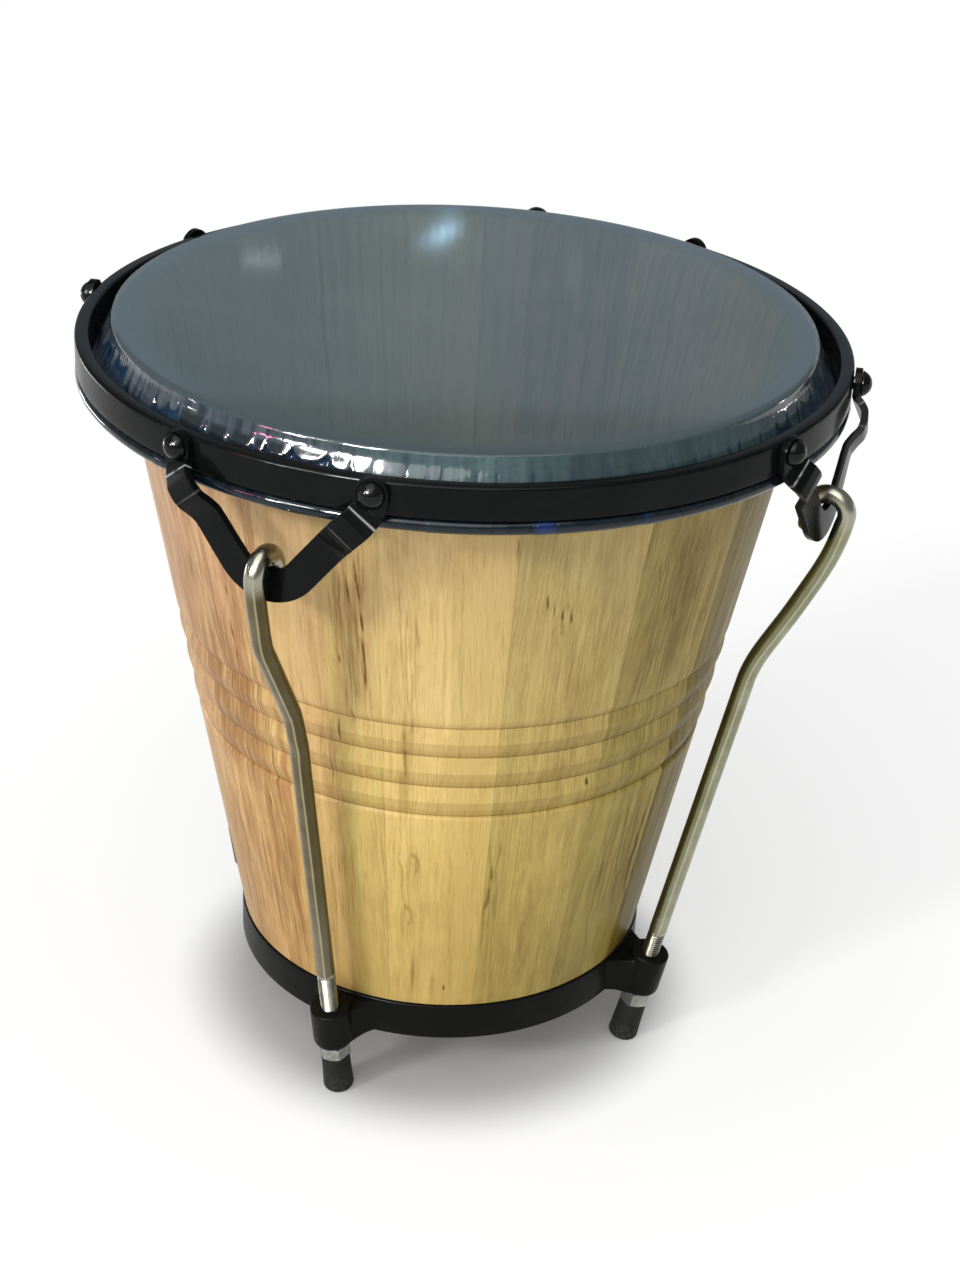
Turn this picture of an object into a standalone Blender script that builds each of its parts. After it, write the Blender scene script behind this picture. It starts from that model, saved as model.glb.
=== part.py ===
"""Vallenato hand drum (caja): coopered conical shell, film head, counter hoop
pulled down by four hook rods, four rubber-capped rod ends as feet.

Metres, +Z up. Origin on the floor, on the drum's axis. The four lugs, straps
and rods lie on +X, +Y, -X and -Y.
"""
import math

import bmesh
import bpy
from mathutils import Matrix, Vector

MM = 0.001

# ---------------------------------------------------------------- dimensions
HEIGHT = 343.6            # floor to the playing surface, mm
SEGMENTS = 48             # facets round every large turned piece
LUG_AZIMUTHS = (0.0, 90.0, 180.0, 270.0)
LUG_NAMES = ("px", "py", "nx", "ny")

# shell, heights measured down from the playing surface
CONE_R1, CONE_Z1 = 142.0, -37.5
CONE_R2, CONE_Z2 = 94.6, -293.7
WALL = 10.0
STAVES = 16
STAVE_JOINT_AZIMUTH = -54.6
STAVE_GAP = 0.3
SHOULDER_Z = -293.4       # where the rebate for the bottom ring starts
SHELL_BOTTOM_Z = -308.3
SPIGOT_R = 91.9
GROOVES = (-133.2, -148.4, -164.6, -180.4)
GROOVE_DEPTH = 1.2

# bottom ring
RING_OUT, RING_IN = 95.4, 92.2
RING_TOP, RING_BOTTOM = -293.7, -311.3

# head film
FILM_T = 0.35
SKIRT = ((0.0, -0.175), (70.0, -0.175), (148.0, -0.175), (149.1, -0.6),
         (149.8, -1.9), (152.8, -11.0), (157.4, -19.3))

# flesh hoop inside the film's wrapped edge
HOOP_R, HOOP_Z = 162.5, -23.4
HOOP_TUBE = 2.3
WRAP_TUBE = 2.825

# counter hoop
RIM_OUT, RIM_IN = 165.0, 159.0
RIM_TOP, RIM_BOTTOM = -6.4, -20.1

# straps
STRAP_W, STRAP_T = 13.0, 3.0
LAND_R = 166.95           # middle of the plate on the rim
RIVET_AZ = 14.4
RIVET_Z = -11.0
ARM_SLOPE = 51.5          # degrees from horizontal
LOBE_R = 18.3             # middle of the plate round the bottom of the U
LOBE_Z = -57.2
STRAP_PROFILE = ((0.0, LAND_R), (-17.2, LAND_R), (-20.3, 169.7),
                 (-23.0, 171.7), (-26.0, 172.2), (-28.8, 171.5),
                 (-31.3, 169.2), (-34.4, 167.1), (-38.0, 166.7),
                 (-70.0, 165.2))

# rivets
RIVET_SHANK, RIVET_HOLE = 2.7, 3.0
DOME_R, DOME_H = 5.5, 4.4

# tension rods: axis of the straight lower part, in the lug's radial plane
ROD_R = 4.1
THREAD_R = 4.0
AXIS_R, AXIS_Z = 106.5, -309.0
AXIS_SLOPE = 0.2015       # dr per mm of height
HOOK_R = 8.0
HOOK_OUT = 175.6          # shank centre line beside the strap
HOOK_Z = -52.0
HOOK_TIP_Z = -61.5

# along the rod axis, measured down from (AXIS_R, AXIS_Z)
LUG_TOP, LUG_BOTTOM = -17.0, 5.0
NUT_TOP, NUT_BOTTOM = 5.3, 13.1
CAP_TOP, CAP_BOTTOM = 13.4, 35.0
ROD_END = 30.0
LUG_R, LUG_BORE = 8.9, 4.5
NUT_FLATS, NUT_BORE = 13.0, 4.3
CAP_R1, CAP_R2, CAP_BORE = 6.4, 7.0, 4.3

TILT = math.atan(AXIS_SLOPE)


# ---------------------------------------------------------------- the scene
for old in list(bpy.data.objects):
    bpy.data.objects.remove(old, do_unlink=True)


def collection(name):
    c = bpy.data.collections.get(name) or bpy.data.collections.new(name)
    if c.name not in bpy.context.scene.collection.children:
        bpy.context.scene.collection.children.link(c)
    return c


PARTS = collection("caja_drum")
CUTTERS = collection("cutters")


def material(name, colour, roughness, metallic=0.0):
    m = bpy.data.materials.new(name)
    m.use_nodes = True
    b = m.node_tree.nodes["Principled BSDF"]
    b.inputs["Base Color"].default_value = (*colour, 1.0)
    b.inputs["Roughness"].default_value = roughness
    b.inputs["Metallic"].default_value = metallic
    m.diffuse_color = (*colour, 1.0)
    return m


WOOD_PALE = material("wood_pale", (0.62, 0.46, 0.23), 0.45)
WOOD_TAN = material("wood_tan", (0.53, 0.35, 0.18), 0.45)
FILM = material("head_film", (0.13, 0.17, 0.19), 0.22)
BLACK = material("black_coated_steel", (0.012, 0.013, 0.013), 0.38, 0.4)
HOOP_STEEL = material("hoop_steel", (0.35, 0.36, 0.38), 0.4, 1.0)
CHROME = material("plated_steel", (0.55, 0.54, 0.50), 0.2, 1.0)
ZINC = material("zinc_steel", (0.72, 0.72, 0.68), 0.35, 1.0)
RUBBER = material("rubber", (0.02, 0.022, 0.021), 0.75)


def put(name, mesh, mat, coll=None, smooth=30.0):
    o = bpy.data.objects.new(name, mesh)
    (coll or PARTS).objects.link(o)
    if mat:
        mesh.materials.append(mat)
    if smooth:
        mesh.shade_smooth()
        mesh.set_sharp_from_angle(angle=math.radians(smooth))
    return o


def cutter(o):
    o.hide_render = True
    o.display_type = "WIRE"
    return o


def polyline(name, points, closed):
    """Mesh of a profile's edges, points as (x, z) in mm above the floor."""
    me = bpy.data.meshes.new(name)
    n = len(points)
    edges = [(i, i + 1) for i in range(n - 1)] + ([(n - 1, 0)] if closed else [])
    me.from_pydata([(x * MM, 0.0, z * MM) for x, z in points], edges, [])
    return me


def turned(name, points, mat, closed=True, steps=SEGMENTS, turn=0.0, merge=False):
    """A profile turned a full turn about Z. turn sets where the facets start."""
    o = put(name, polyline(name, points, closed), mat, smooth=None)
    s = o.modifiers.new("turn", "SCREW")
    s.steps = s.render_steps = steps
    s.use_merge_vertices = True
    s.merge_threshold = 0.00005
    s.use_smooth_shade = True
    o.rotation_euler.z = math.radians(turn)
    return o


def boolean(o, other, operation="DIFFERENCE"):
    b = o.modifiers.new(operation.lower(), "BOOLEAN")
    b.operation = operation
    b.object = other
    b.solver = "EXACT"
    return b


def up(z):
    """Height above the floor of a height below the playing surface."""
    return z + HEIGHT


def cone_r(z):
    return CONE_R1 + (CONE_R1 - CONE_R2) / (CONE_Z1 - CONE_Z2) * (z - CONE_Z1)


def rod_frame(azimuth):
    """World matrix at the rod axis point, local +Z up along the rod, local +X
    outwards, square to the rod."""
    a = math.radians(azimuth)
    er = Vector((math.cos(a), math.sin(a), 0.0))
    ez = Vector((0.0, 0.0, 1.0))
    zed = (math.sin(TILT) * er + math.cos(TILT) * ez).normalized()
    out = (math.cos(TILT) * er - math.sin(TILT) * ez).normalized()
    side = zed.cross(out)
    m = Matrix((out, side, zed)).transposed().to_4x4()
    m.translation = er * AXIS_R * MM + ez * up(AXIS_Z) * MM
    return m


# ---------------------------------------------------------------- the shell
def bead_profile():
    """Outer face of a stave, top to bottom: (r, z)."""
    pts = [(cone_r(-0.7) - 2.2, -0.7), (cone_r(-2.4), -2.4)]
    pts.append((cone_r(GROOVES[0] + 5.0), GROOVES[0] + 5.0))
    for i, g in enumerate(GROOVES):
        pts.append((cone_r(g) - GROOVE_DEPTH, g))
        if i + 1 < len(GROOVES):
            low = GROOVES[i + 1]
            span = g - low
            for f, lift in ((0.16, -0.25), (0.42, 0.15), (0.78, -0.35)):
                z = g - f * span
                pts.append((cone_r(z) + lift, z))
    pts.append((cone_r(GROOVES[-1] - 2.0), GROOVES[-1] - 2.0))
    pts.append((cone_r(SHOULDER_Z), SHOULDER_Z))
    pts.append((SPIGOT_R, SHOULDER_Z))
    pts.append((SPIGOT_R, SHELL_BOTTOM_Z))
    return pts


def stave_section():
    outer = bead_profile()
    inner = [(cone_r(SHELL_BOTTOM_Z) - WALL, SHELL_BOTTOM_Z),
             (cone_r(-8.0) - WALL, -8.0), (cone_r(-3.2) - 7.0, -0.7)]
    return outer + inner


def make_stave(i):
    """One stave: its section swept through its share of the circle, with half
    a gap left at each joint."""
    pitch = 360.0 / STAVES
    section = stave_section()
    steps = SEGMENTS // STAVES
    bm = bmesh.new()
    verts = [bm.verts.new((r * MM, 0.0, up(z) * MM)) for r, z in section]
    face = bm.faces.new(verts)
    bmesh.ops.spin(bm, geom=[face] + list(face.edges) + verts, cent=(0, 0, 0),
                   axis=(0, 0, 1), angle=math.radians(pitch), steps=steps,
                   use_duplicate=False)
    # both end faces are moved back by half a gap, square to the joint
    half = STAVE_GAP * MM / 2.0
    end = math.radians(pitch)
    for v in bm.verts:
        a = math.atan2(v.co.y, v.co.x)
        if a < 1e-4:
            v.co.y += half
        elif a > end - 1e-4:
            v.co += half * Vector((math.sin(end), -math.cos(end), 0.0))
    bmesh.ops.recalc_face_normals(bm, faces=bm.faces)
    me = bpy.data.meshes.new("stave_%02d" % (i + 1))
    bm.to_mesh(me)
    bm.free()
    o = put("stave_%02d" % (i + 1), me, WOOD_TAN if i in (1, 2, 9, 10, 14) else WOOD_PALE)
    o.rotation_euler.z = math.radians(STAVE_JOINT_AZIMUTH + i * pitch)
    return o


for index in range(STAVES):
    make_stave(index)

# ---------------------------------------------------------------- bottom ring
turned("bottom_ring", [(RING_OUT - 0.6, up(RING_TOP)), (RING_OUT, up(RING_TOP - 0.6)),
                       (RING_OUT, up(RING_BOTTOM + 0.6)), (RING_OUT - 0.6, up(RING_BOTTOM)),
                       (RING_IN, up(RING_BOTTOM)), (RING_IN, up(RING_TOP))],
       BLACK, turn=STAVE_JOINT_AZIMUTH)


# ---------------------------------------------------------------- head film
def wrap_points():
    """Middle line of the film round the flesh hoop, from the inside, under the
    hoop and over its top."""
    out = []
    for k in range(7):
        a = math.radians(180.0 + 45.0 * k)
        out.append((HOOP_R + WRAP_TUBE * math.cos(a), HOOP_Z + WRAP_TUBE * math.sin(a)))
    return out


film = turned("head_film", [(r, up(z)) for r, z in list(SKIRT) + wrap_points()],
              FILM, closed=False, turn=STAVE_JOINT_AZIMUTH)
skin = film.modifiers.new("thickness", "SOLIDIFY")
skin.thickness = FILM_T * MM
skin.offset = 0.0

# ---------------------------------------------------------------- flesh hoop
bpy.ops.mesh.primitive_torus_add(major_segments=SEGMENTS, minor_segments=6,
                                 major_radius=HOOP_R * MM, minor_radius=HOOP_TUBE * MM,
                                 location=(0, 0, up(HOOP_Z) * MM),
                                 rotation=(0, 0, math.radians(STAVE_JOINT_AZIMUTH)))
hoop = bpy.context.active_object
hoop.name = hoop.data.name = "flesh_hoop"
for c in list(hoop.users_collection):
    c.objects.unlink(hoop)
PARTS.objects.link(hoop)
hoop.data.materials.append(HOOP_STEEL)
hoop.data.shade_smooth()


# ---------------------------------------------------------------- counter hoop
rim = turned("rim", [(RIM_IN + 0.8, up(RIM_TOP)), (RIM_OUT - 1.6, up(RIM_TOP)),
                     (RIM_OUT - 0.4, up(RIM_TOP - 0.5)), (RIM_OUT, up(RIM_TOP - 1.7)),
                     (RIM_OUT, up(RIM_BOTTOM)), (RIM_IN, up(RIM_BOTTOM)),
                     (RIM_IN, up(RIM_TOP - 0.8))],
             BLACK, turn=STAVE_JOINT_AZIMUTH)


def radial_matrix(azimuth, r, z):
    """Local +Z points outwards, local +Y up."""
    a = math.radians(azimuth)
    er = Vector((math.cos(a), math.sin(a), 0.0))
    ez = Vector((0.0, 0.0, 1.0))
    m = Matrix((ez.cross(er), ez, er)).transposed().to_4x4()
    m.translation = er * r * MM + ez * up(z) * MM
    return m


def pin_cutter(name, azimuth, r, z, radius, length):
    bm = bmesh.new()
    bmesh.ops.create_cone(bm, cap_ends=True, cap_tris=False, segments=12,
                          radius1=radius * MM, radius2=radius * MM, depth=length * MM)
    me = bpy.data.meshes.new(name)
    bm.to_mesh(me)
    bm.free()
    o = cutter(put(name, me, None, CUTTERS, smooth=None))
    o.matrix_world = radial_matrix(azimuth, r, z)
    return o


holes = []
for lug_az in LUG_AZIMUTHS:
    for side in (-1, 1):
        holes.append(pin_cutter("rivet_hole", lug_az + side * RIVET_AZ, 163.0,
                                RIVET_Z, RIVET_HOLE, 30.0))
        boolean(rim, holes[-1])


# ---------------------------------------------------------------- straps
def strap_path():
    """Middle line of the U plate, unrolled: (s, z, half width, lean), from the
    round end at one rivet down round the lobe and up to the other. lean is the
    direction of travel in degrees from horizontal."""
    s_rivet = math.radians(RIVET_AZ) * LAND_R
    slope = math.radians(ARM_SLOPE)
    s_tan = LOBE_R * math.sin(slope)
    z_tan = LOBE_Z + LOBE_R * (1.0 - math.cos(slope))
    half = []
    # round end above the rivet
    for deg in (82.0, 55.0, 28.0):
        a = math.radians(deg)
        half.append((s_rivet, RIVET_Z + STRAP_W / 2 * math.sin(a),
                     STRAP_W / 2 * math.cos(a), 90.0))
    half.append((s_rivet, RIVET_Z, STRAP_W / 2, 90.0))
    # the arm curves from upright into its slope: a cubic between the two
    p0 = Vector((s_rivet, -13.5))
    p3 = Vector((s_tan + (-28.5 - z_tan) / math.tan(slope), -28.5))
    p1 = p0 + Vector((0.0, -6.0))
    p2 = p3 + Vector((math.cos(slope), math.sin(slope))) * 6.0
    for t in (0.0, 0.2, 0.38, 0.55, 0.7, 0.85, 1.0):
        p = ((1 - t) ** 3 * p0 + 3 * t * (1 - t) ** 2 * p1
             + 3 * t * t * (1 - t) * p2 + t ** 3 * p3)
        d = (3 * (1 - t) ** 2 * (p1 - p0) + 6 * t * (1 - t) * (p2 - p1)
             + 3 * t * t * (p3 - p2))
        half.append((p.x, p.y, STRAP_W / 2, math.degrees(math.atan2(-d.y, -d.x))))
    for z in (-31.3, -34.4, -38.0):
        half.append((s_tan + (z - z_tan) / math.tan(slope), z, STRAP_W / 2, ARM_SLOPE))
    for deg in (51.5, 34.0, 17.0):
        a = math.radians(deg)
        half.append((LOBE_R * math.sin(a), LOBE_Z + LOBE_R * (1 - math.cos(a)),
                     STRAP_W / 2, deg))
    other = [(-s, z, w, 180.0 - d) for s, z, w, d in reversed(half)]
    # 'd' is the downward travel angle on the +s side; mirrored, travel goes up
    return half, (0.0, LOBE_Z, STRAP_W / 2, 0.0), other


def plate_r(z):
    """Radius of the plate's middle at a height, by straight steps."""
    for (z1, r1), (z2, r2) in zip(STRAP_PROFILE, STRAP_PROFILE[1:]):
        if z1 >= z >= z2:
            return r1 + (r2 - r1) * (z1 - z) / (z1 - z2)
    return STRAP_PROFILE[0][1] if z > 0 else STRAP_PROFILE[-1][1]


def make_strap(name, azimuth):
    half, middle, other = strap_path()
    rows = []
    for s, z, w, lean in half:
        a = math.radians(lean)
        rows.append((s, z, w, Vector((math.sin(a), -math.cos(a)))))
    rows.append((middle[0], middle[1], middle[2], Vector((0.0, -1.0))))
    for s, z, w, lean in other:
        a = math.radians(180.0 - lean)
        rows.append((s, z, w, Vector((-math.sin(a), -math.cos(a)))))
    bm = bmesh.new()
    bmesh.ops.create_grid(bm, x_segments=len(rows) - 1, y_segments=2, size=1.0)
    base = math.radians(azimuth)
    n = len(rows)
    for v in bm.verts:
        i = round((v.co.x + 1.0) / 2.0 * (n - 1))
        j = round(v.co.y)
        s, z, w, across = rows[i]
        ps = s + j * w * across.x
        pz = z + j * w * across.y
        r = plate_r(z)
        a = base + ps / LAND_R
        v.co = Vector((r * math.cos(a) * MM, r * math.sin(a) * MM, up(pz) * MM))
    bmesh.ops.recalc_face_normals(bm, faces=bm.faces)
    me = bpy.data.meshes.new(name)
    bm.to_mesh(me)
    bm.free()
    o = put(name, me, BLACK)
    s = o.modifiers.new("plate", "SOLIDIFY")
    s.thickness = STRAP_T * MM
    s.offset = 0.0
    s.use_even_offset = True
    return o


straps = []
for lug_name, lug_az in zip(LUG_NAMES, LUG_AZIMUTHS):
    strap = make_strap("strap_" + lug_name, lug_az)
    k = LUG_AZIMUTHS.index(lug_az)
    boolean(strap, holes[2 * k])
    boolean(strap, holes[2 * k + 1])
    straps.append(strap)


# ---------------------------------------------------------------- rivets
def rivet_mesh():
    """Dome head outside the strap, shank through strap and rim, turned about
    local Z, whose origin is at the drum's axis."""
    face = LAND_R + STRAP_T / 2 + 0.3
    sphere = (DOME_R ** 2 + DOME_H ** 2) / (2 * DOME_H)
    pts = []
    for f in (0.0, 0.33, 0.62, 0.86):
        x = DOME_R * f
        pts.append((x, face + DOME_H - sphere + math.sqrt(sphere ** 2 - x ** 2)))
    pts += [(DOME_R, face + 0.5), (DOME_R - 0.2, face), (RIVET_SHANK, face),
            (RIVET_SHANK, RIM_IN + 0.2), (0.0, RIM_IN + 0.2)]
    return pts


for lug_name, lug_az in zip(LUG_NAMES, LUG_AZIMUTHS):
    for tag, side in (("a", -1), ("b", 1)):
        rivet = turned("rivet_%s_%s" % (lug_name, tag), rivet_mesh(), BLACK,
                       closed=False, steps=12)
        rivet.rotation_euler = (0, 0, 0)
        rivet.matrix_world = radial_matrix(lug_az + side * RIVET_AZ, 0.0, RIVET_Z)


# ---------------------------------------------------------------- lugs
def axis_cylinder(name, azimuth, radius, top, bottom, segments, mat, coll=None):
    """Cylinder on a rod axis, between two distances down that axis."""
    bm = bmesh.new()
    bmesh.ops.create_cone(bm, cap_ends=True, cap_tris=False, segments=segments,
                          radius1=radius * MM, radius2=radius * MM,
                          depth=(bottom - top) * MM)
    bmesh.ops.translate(bm, verts=bm.verts, vec=(0, 0, -(top + bottom) / 2 * MM))
    me = bpy.data.meshes.new(name)
    bm.to_mesh(me)
    bm.free()
    o = put(name, me, mat, coll, smooth=30.0)
    o.matrix_world = rod_frame(azimuth)
    return o


bm = bmesh.new()
bmesh.ops.create_cone(bm, cap_ends=True, cap_tris=False, segments=96,
                      radius1=(RING_OUT + 0.3) * MM, radius2=(RING_OUT + 0.3) * MM,
                      depth=60 * MM)
ring_mesh = bpy.data.meshes.new("ring_space")
bm.to_mesh(ring_mesh)
bm.free()
ring_space = cutter(put("ring_space", ring_mesh, None, CUTTERS, smooth=None))
ring_space.location.z = up(-302.0) * MM

for lug_name, lug_az in zip(LUG_NAMES, LUG_AZIMUTHS):
    lug = axis_cylinder("lug_" + lug_name, lug_az, LUG_R, LUG_TOP, LUG_BOTTOM, 20, BLACK)
    # welded web: a wedge that widens from the barrel to the ring
    bm = bmesh.new()
    bmesh.ops.create_cube(bm, size=1.0)
    for v in bm.verts:
        inner = v.co.x < 0
        v.co.x = (90.0 if inner else 106.0) * MM
        v.co.y = (1 if v.co.y > 0 else -1) * (17.0 if inner else 7.0) * MM
        v.co.z = up(-295.0 if v.co.z > 0 else -310.4) * MM
    web_mesh = bpy.data.meshes.new("web_" + lug_name)
    bm.to_mesh(web_mesh)
    bm.free()
    web = cutter(put("web_" + lug_name, web_mesh, None, CUTTERS, smooth=None))
    web.rotation_euler.z = math.radians(lug_az)
    boolean(lug, web, "UNION")
    boolean(lug, ring_space)
    bore = cutter(axis_cylinder("lug_bore_" + lug_name, lug_az, LUG_BORE,
                                LUG_TOP - 10.0, LUG_BOTTOM + 10.0, 16, None, CUTTERS))
    boolean(lug, bore)


# ---------------------------------------------------------------- hook rods
def rod_points():
    """Centre line of a rod in its radial plane: (r, z, radius)."""
    tip_r = HOOK_OUT - 2 * HOOK_R
    pts = [(tip_r, HOOK_TIP_Z, 0.93), (tip_r, HOOK_TIP_Z + 2.5, 1.0)]
    for k in range(7):
        a = math.radians(180.0 - 30.0 * k)
        pts.append((tip_r + HOOK_R + HOOK_R * math.cos(a), HOOK_Z + HOOK_R * math.sin(a), 1.0))
    pts += [(174.9, -56.0, 1.0), (173.1, -63.5, 1.0), (170.8, -71.0, 1.0),
            (167.8, -78.7, 1.0), (164.2, -86.7, 1.0), (157.0, -102.0, 1.0),
            (148.3, -119.0, 1.0), (144.3, -127.5, 1.0),
            (141.4, -136.0, 1.0)]

    def on_axis(u, scale):
        return (AXIS_R - math.sin(TILT) * u, AXIS_Z - math.cos(TILT) * u, scale)

    pts.append(on_axis(-171.0, 1.0))
    pts.append(on_axis(-100.0, 1.0))
    thread = THREAD_R / ROD_R
    pts.append(on_axis(-39.0, 1.0))
    pts.append(on_axis(-38.4, thread))
    pts.append(on_axis(ROD_END - 1.0, thread))
    pts.append(on_axis(ROD_END, thread * 0.86))
    return pts


for lug_name, lug_az in zip(LUG_NAMES, LUG_AZIMUTHS):
    frame = rod_frame(lug_az)
    back = frame.inverted()
    a = math.radians(lug_az)
    curve = bpy.data.curves.new("rod_" + lug_name, "CURVE")
    curve.dimensions = "3D"
    curve.bevel_depth = ROD_R * MM
    curve.bevel_resolution = 4
    curve.use_fill_caps = True
    curve.twist_mode = "MINIMUM"
    pts = rod_points()
    spline = curve.splines.new("POLY")
    spline.points.add(len(pts) - 1)
    for p, (r, z, scale) in zip(spline.points, pts):
        w = back @ Vector((r * math.cos(a) * MM, r * math.sin(a) * MM, up(z) * MM))
        p.co = (w.x, w.y, w.z, 1.0)
        p.radius = scale
    spline.use_smooth = True
    curve.materials.append(CHROME)
    rod = bpy.data.objects.new("rod_" + lug_name, curve)
    PARTS.objects.link(rod)
    rod.matrix_world = frame

# ---------------------------------------------------------------- nuts
for lug_name, lug_az in zip(LUG_NAMES, LUG_AZIMUTHS):
    nut = axis_cylinder("nut_" + lug_name, lug_az, NUT_FLATS / 2 / math.cos(math.pi / 6),
                        NUT_TOP, NUT_BOTTOM, 6, ZINC)
    nut.data.shade_flat()
    bore = cutter(axis_cylinder("nut_bore_" + lug_name, lug_az, NUT_BORE,
                                NUT_TOP - 5.0, NUT_BOTTOM + 5.0, 16, None, CUTTERS))
    boolean(nut, bore)

# ---------------------------------------------------------------- rubber caps
bm = bmesh.new()
bmesh.ops.create_cube(bm, size=1.0)
for v in bm.verts:
    v.co.x *= 300 * MM
    v.co.y *= 300 * MM
    v.co.z = 0.0 if v.co.z > 0 else -40 * MM
floor_mesh = bpy.data.meshes.new("floor_space")
bm.to_mesh(floor_mesh)
bm.free()
floor_space = cutter(put("floor_space", floor_mesh, None, CUTTERS, smooth=None))

CAP_PROFILE = ((0.0, -(ROD_END + 0.5)), (CAP_BORE, -(ROD_END + 0.5)), (CAP_BORE, -CAP_TOP),
               (CAP_R1 - 0.6, -CAP_TOP), (CAP_R1, -(CAP_TOP + 0.7)),
               (CAP_R2, -(CAP_BOTTOM - 1.6)), (CAP_R2 - 1.2, -CAP_BOTTOM), (0.0, -CAP_BOTTOM))
for lug_name, lug_az in zip(LUG_NAMES, LUG_AZIMUTHS):
    cap = turned("cap_" + lug_name, CAP_PROFILE, RUBBER, closed=False, steps=18)
    cap.rotation_euler = (0, 0, 0)
    cap.matrix_world = rod_frame(lug_az)
    boolean(cap, floor_space)
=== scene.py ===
import math

import bmesh
import bpy
import numpy as np
from mathutils import Matrix, Vector


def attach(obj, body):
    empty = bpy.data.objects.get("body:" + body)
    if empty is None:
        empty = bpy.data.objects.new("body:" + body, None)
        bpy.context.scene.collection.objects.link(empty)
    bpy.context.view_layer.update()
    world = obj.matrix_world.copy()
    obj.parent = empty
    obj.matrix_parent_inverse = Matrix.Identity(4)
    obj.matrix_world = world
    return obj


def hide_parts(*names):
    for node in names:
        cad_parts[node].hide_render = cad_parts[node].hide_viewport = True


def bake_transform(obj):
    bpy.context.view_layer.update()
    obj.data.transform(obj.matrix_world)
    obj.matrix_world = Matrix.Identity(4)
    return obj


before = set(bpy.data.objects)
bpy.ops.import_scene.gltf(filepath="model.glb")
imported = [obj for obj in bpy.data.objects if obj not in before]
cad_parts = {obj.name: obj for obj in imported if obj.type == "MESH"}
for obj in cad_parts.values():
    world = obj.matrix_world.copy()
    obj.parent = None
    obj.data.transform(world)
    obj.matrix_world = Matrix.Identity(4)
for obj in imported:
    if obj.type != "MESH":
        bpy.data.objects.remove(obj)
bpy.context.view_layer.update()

MM = 0.001
HEIGHT = 343.6
LUGS = (("px", 0.0), ("py", 90.0), ("nx", 180.0), ("ny", 270.0))
SCENE = bpy.context.scene


def up(z):
    """Height above the floor of a height below the playing surface."""
    return z + HEIGHT


def smooth01(t):
    t = np.clip(t, 0.0, 1.0)
    return t * t * (3.0 - 2.0 * t)


# =============================================================== node helpers
class Shader:
    """A material built from nodes, with short calls for the usual ones."""

    def __init__(self, name):
        self.material = bpy.data.materials.new(name)
        self.material.use_nodes = True
        self.tree = self.material.node_tree
        self.bsdf = self.tree.nodes["Principled BSDF"]

    def put(self, socket, value):
        if isinstance(value, bpy.types.NodeSocket):
            self.tree.links.new(value, socket)
        elif isinstance(value, (tuple, list)) and len(value) == 3 and socket.type == "RGBA":
            socket.default_value = (*value, 1.0)
        else:
            socket.default_value = value

    def node(self, kind, **props):
        n = self.tree.nodes.new(kind)
        for k, v in props.items():
            setattr(n, k, v)
        return n

    def math(self, op, a, b=None, c=None, clamp=False):
        n = self.node("ShaderNodeMath", operation=op, use_clamp=clamp)
        for i, v in enumerate((a, b, c)):
            if v is not None:
                self.put(n.inputs[i], v)
        return n.outputs[0]

    def vec(self, op, a, b=None):
        n = self.node("ShaderNodeVectorMath", operation=op)
        self.put(n.inputs[0], a)
        if b is not None:
            self.put(n.inputs[1], b)
        return n.outputs[0]

    def mix(self, fac, a, b, blend="MIX"):
        n = self.node("ShaderNodeMix", data_type="RGBA", blend_type=blend)
        self.put(n.inputs[0], fac)
        self.put(n.inputs[6], a)
        self.put(n.inputs[7], b)
        return n.outputs[2]

    def join(self, x, y, z):
        n = self.node("ShaderNodeCombineXYZ")
        for i, v in enumerate((x, y, z)):
            self.put(n.inputs[i], v)
        return n.outputs[0]

    def split(self, v):
        n = self.node("ShaderNodeSeparateXYZ")
        self.put(n.inputs[0], v)
        return n.outputs[0], n.outputs[1], n.outputs[2]

    def attribute(self, name):
        return self.node("ShaderNodeAttribute", attribute_name=name)

    def place(self):
        return self.node("ShaderNodeTexCoord").outputs["Object"]

    def noise(self, vector, scale=1.0, detail=2.0, rough=0.5, distortion=0.0):
        n = self.node("ShaderNodeTexNoise", noise_dimensions="3D")
        self.put(n.inputs["Vector"], vector)
        self.put(n.inputs["Scale"], scale)
        self.put(n.inputs["Detail"], detail)
        self.put(n.inputs["Roughness"], rough)
        self.put(n.inputs["Distortion"], distortion)
        return n.outputs[0]

    def band(self, value, low, high, out_low=0.0, out_high=1.0, smooth=True):
        n = self.node("ShaderNodeMapRange", clamp=True)
        n.interpolation_type = "SMOOTHSTEP" if smooth else "LINEAR"
        self.put(n.inputs[0], value)
        for i, v in enumerate((low, high, out_low, out_high)):
            self.put(n.inputs[i + 1], v)
        return n.outputs[0]

    def bump(self, height, strength, distance, normal=None):
        n = self.node("ShaderNodeBump")
        self.put(n.inputs["Height"], height)
        n.inputs["Strength"].default_value = strength
        n.inputs["Distance"].default_value = distance
        if normal is not None:
            self.put(n.inputs["Normal"], normal)
        return n.outputs[0]

    def set(self, **values):
        names = {"base": "Base Color", "rough": "Roughness", "metal": "Metallic",
                 "specular": "Specular IOR Level", "alpha": "Alpha", "normal": "Normal",
                 "coat": "Coat Weight", "coat_rough": "Coat Roughness", "ior": "IOR",
                 "sheen": "Sheen Weight"}
        for k, v in values.items():
            self.put(self.bsdf.inputs[names[k]], v)
        return self.material


# =============================================================== mesh helpers
def quads(nu, nv, wrap_u=False, wrap_v=False, base=0):
    """Faces of a grid of nu rows of nv points."""
    iu = np.arange(nu if wrap_u else nu - 1)[:, None]
    iv = np.arange(nv if wrap_v else nv - 1)[None, :]
    ju, jv = (iu + 1) % nu, (iv + 1) % nv
    f = np.stack(np.broadcast_arrays(iu * nv + iv, ju * nv + iv, ju * nv + jv, iu * nv + jv), -1)
    return (f.reshape(-1, 4) + base).tolist()


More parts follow.
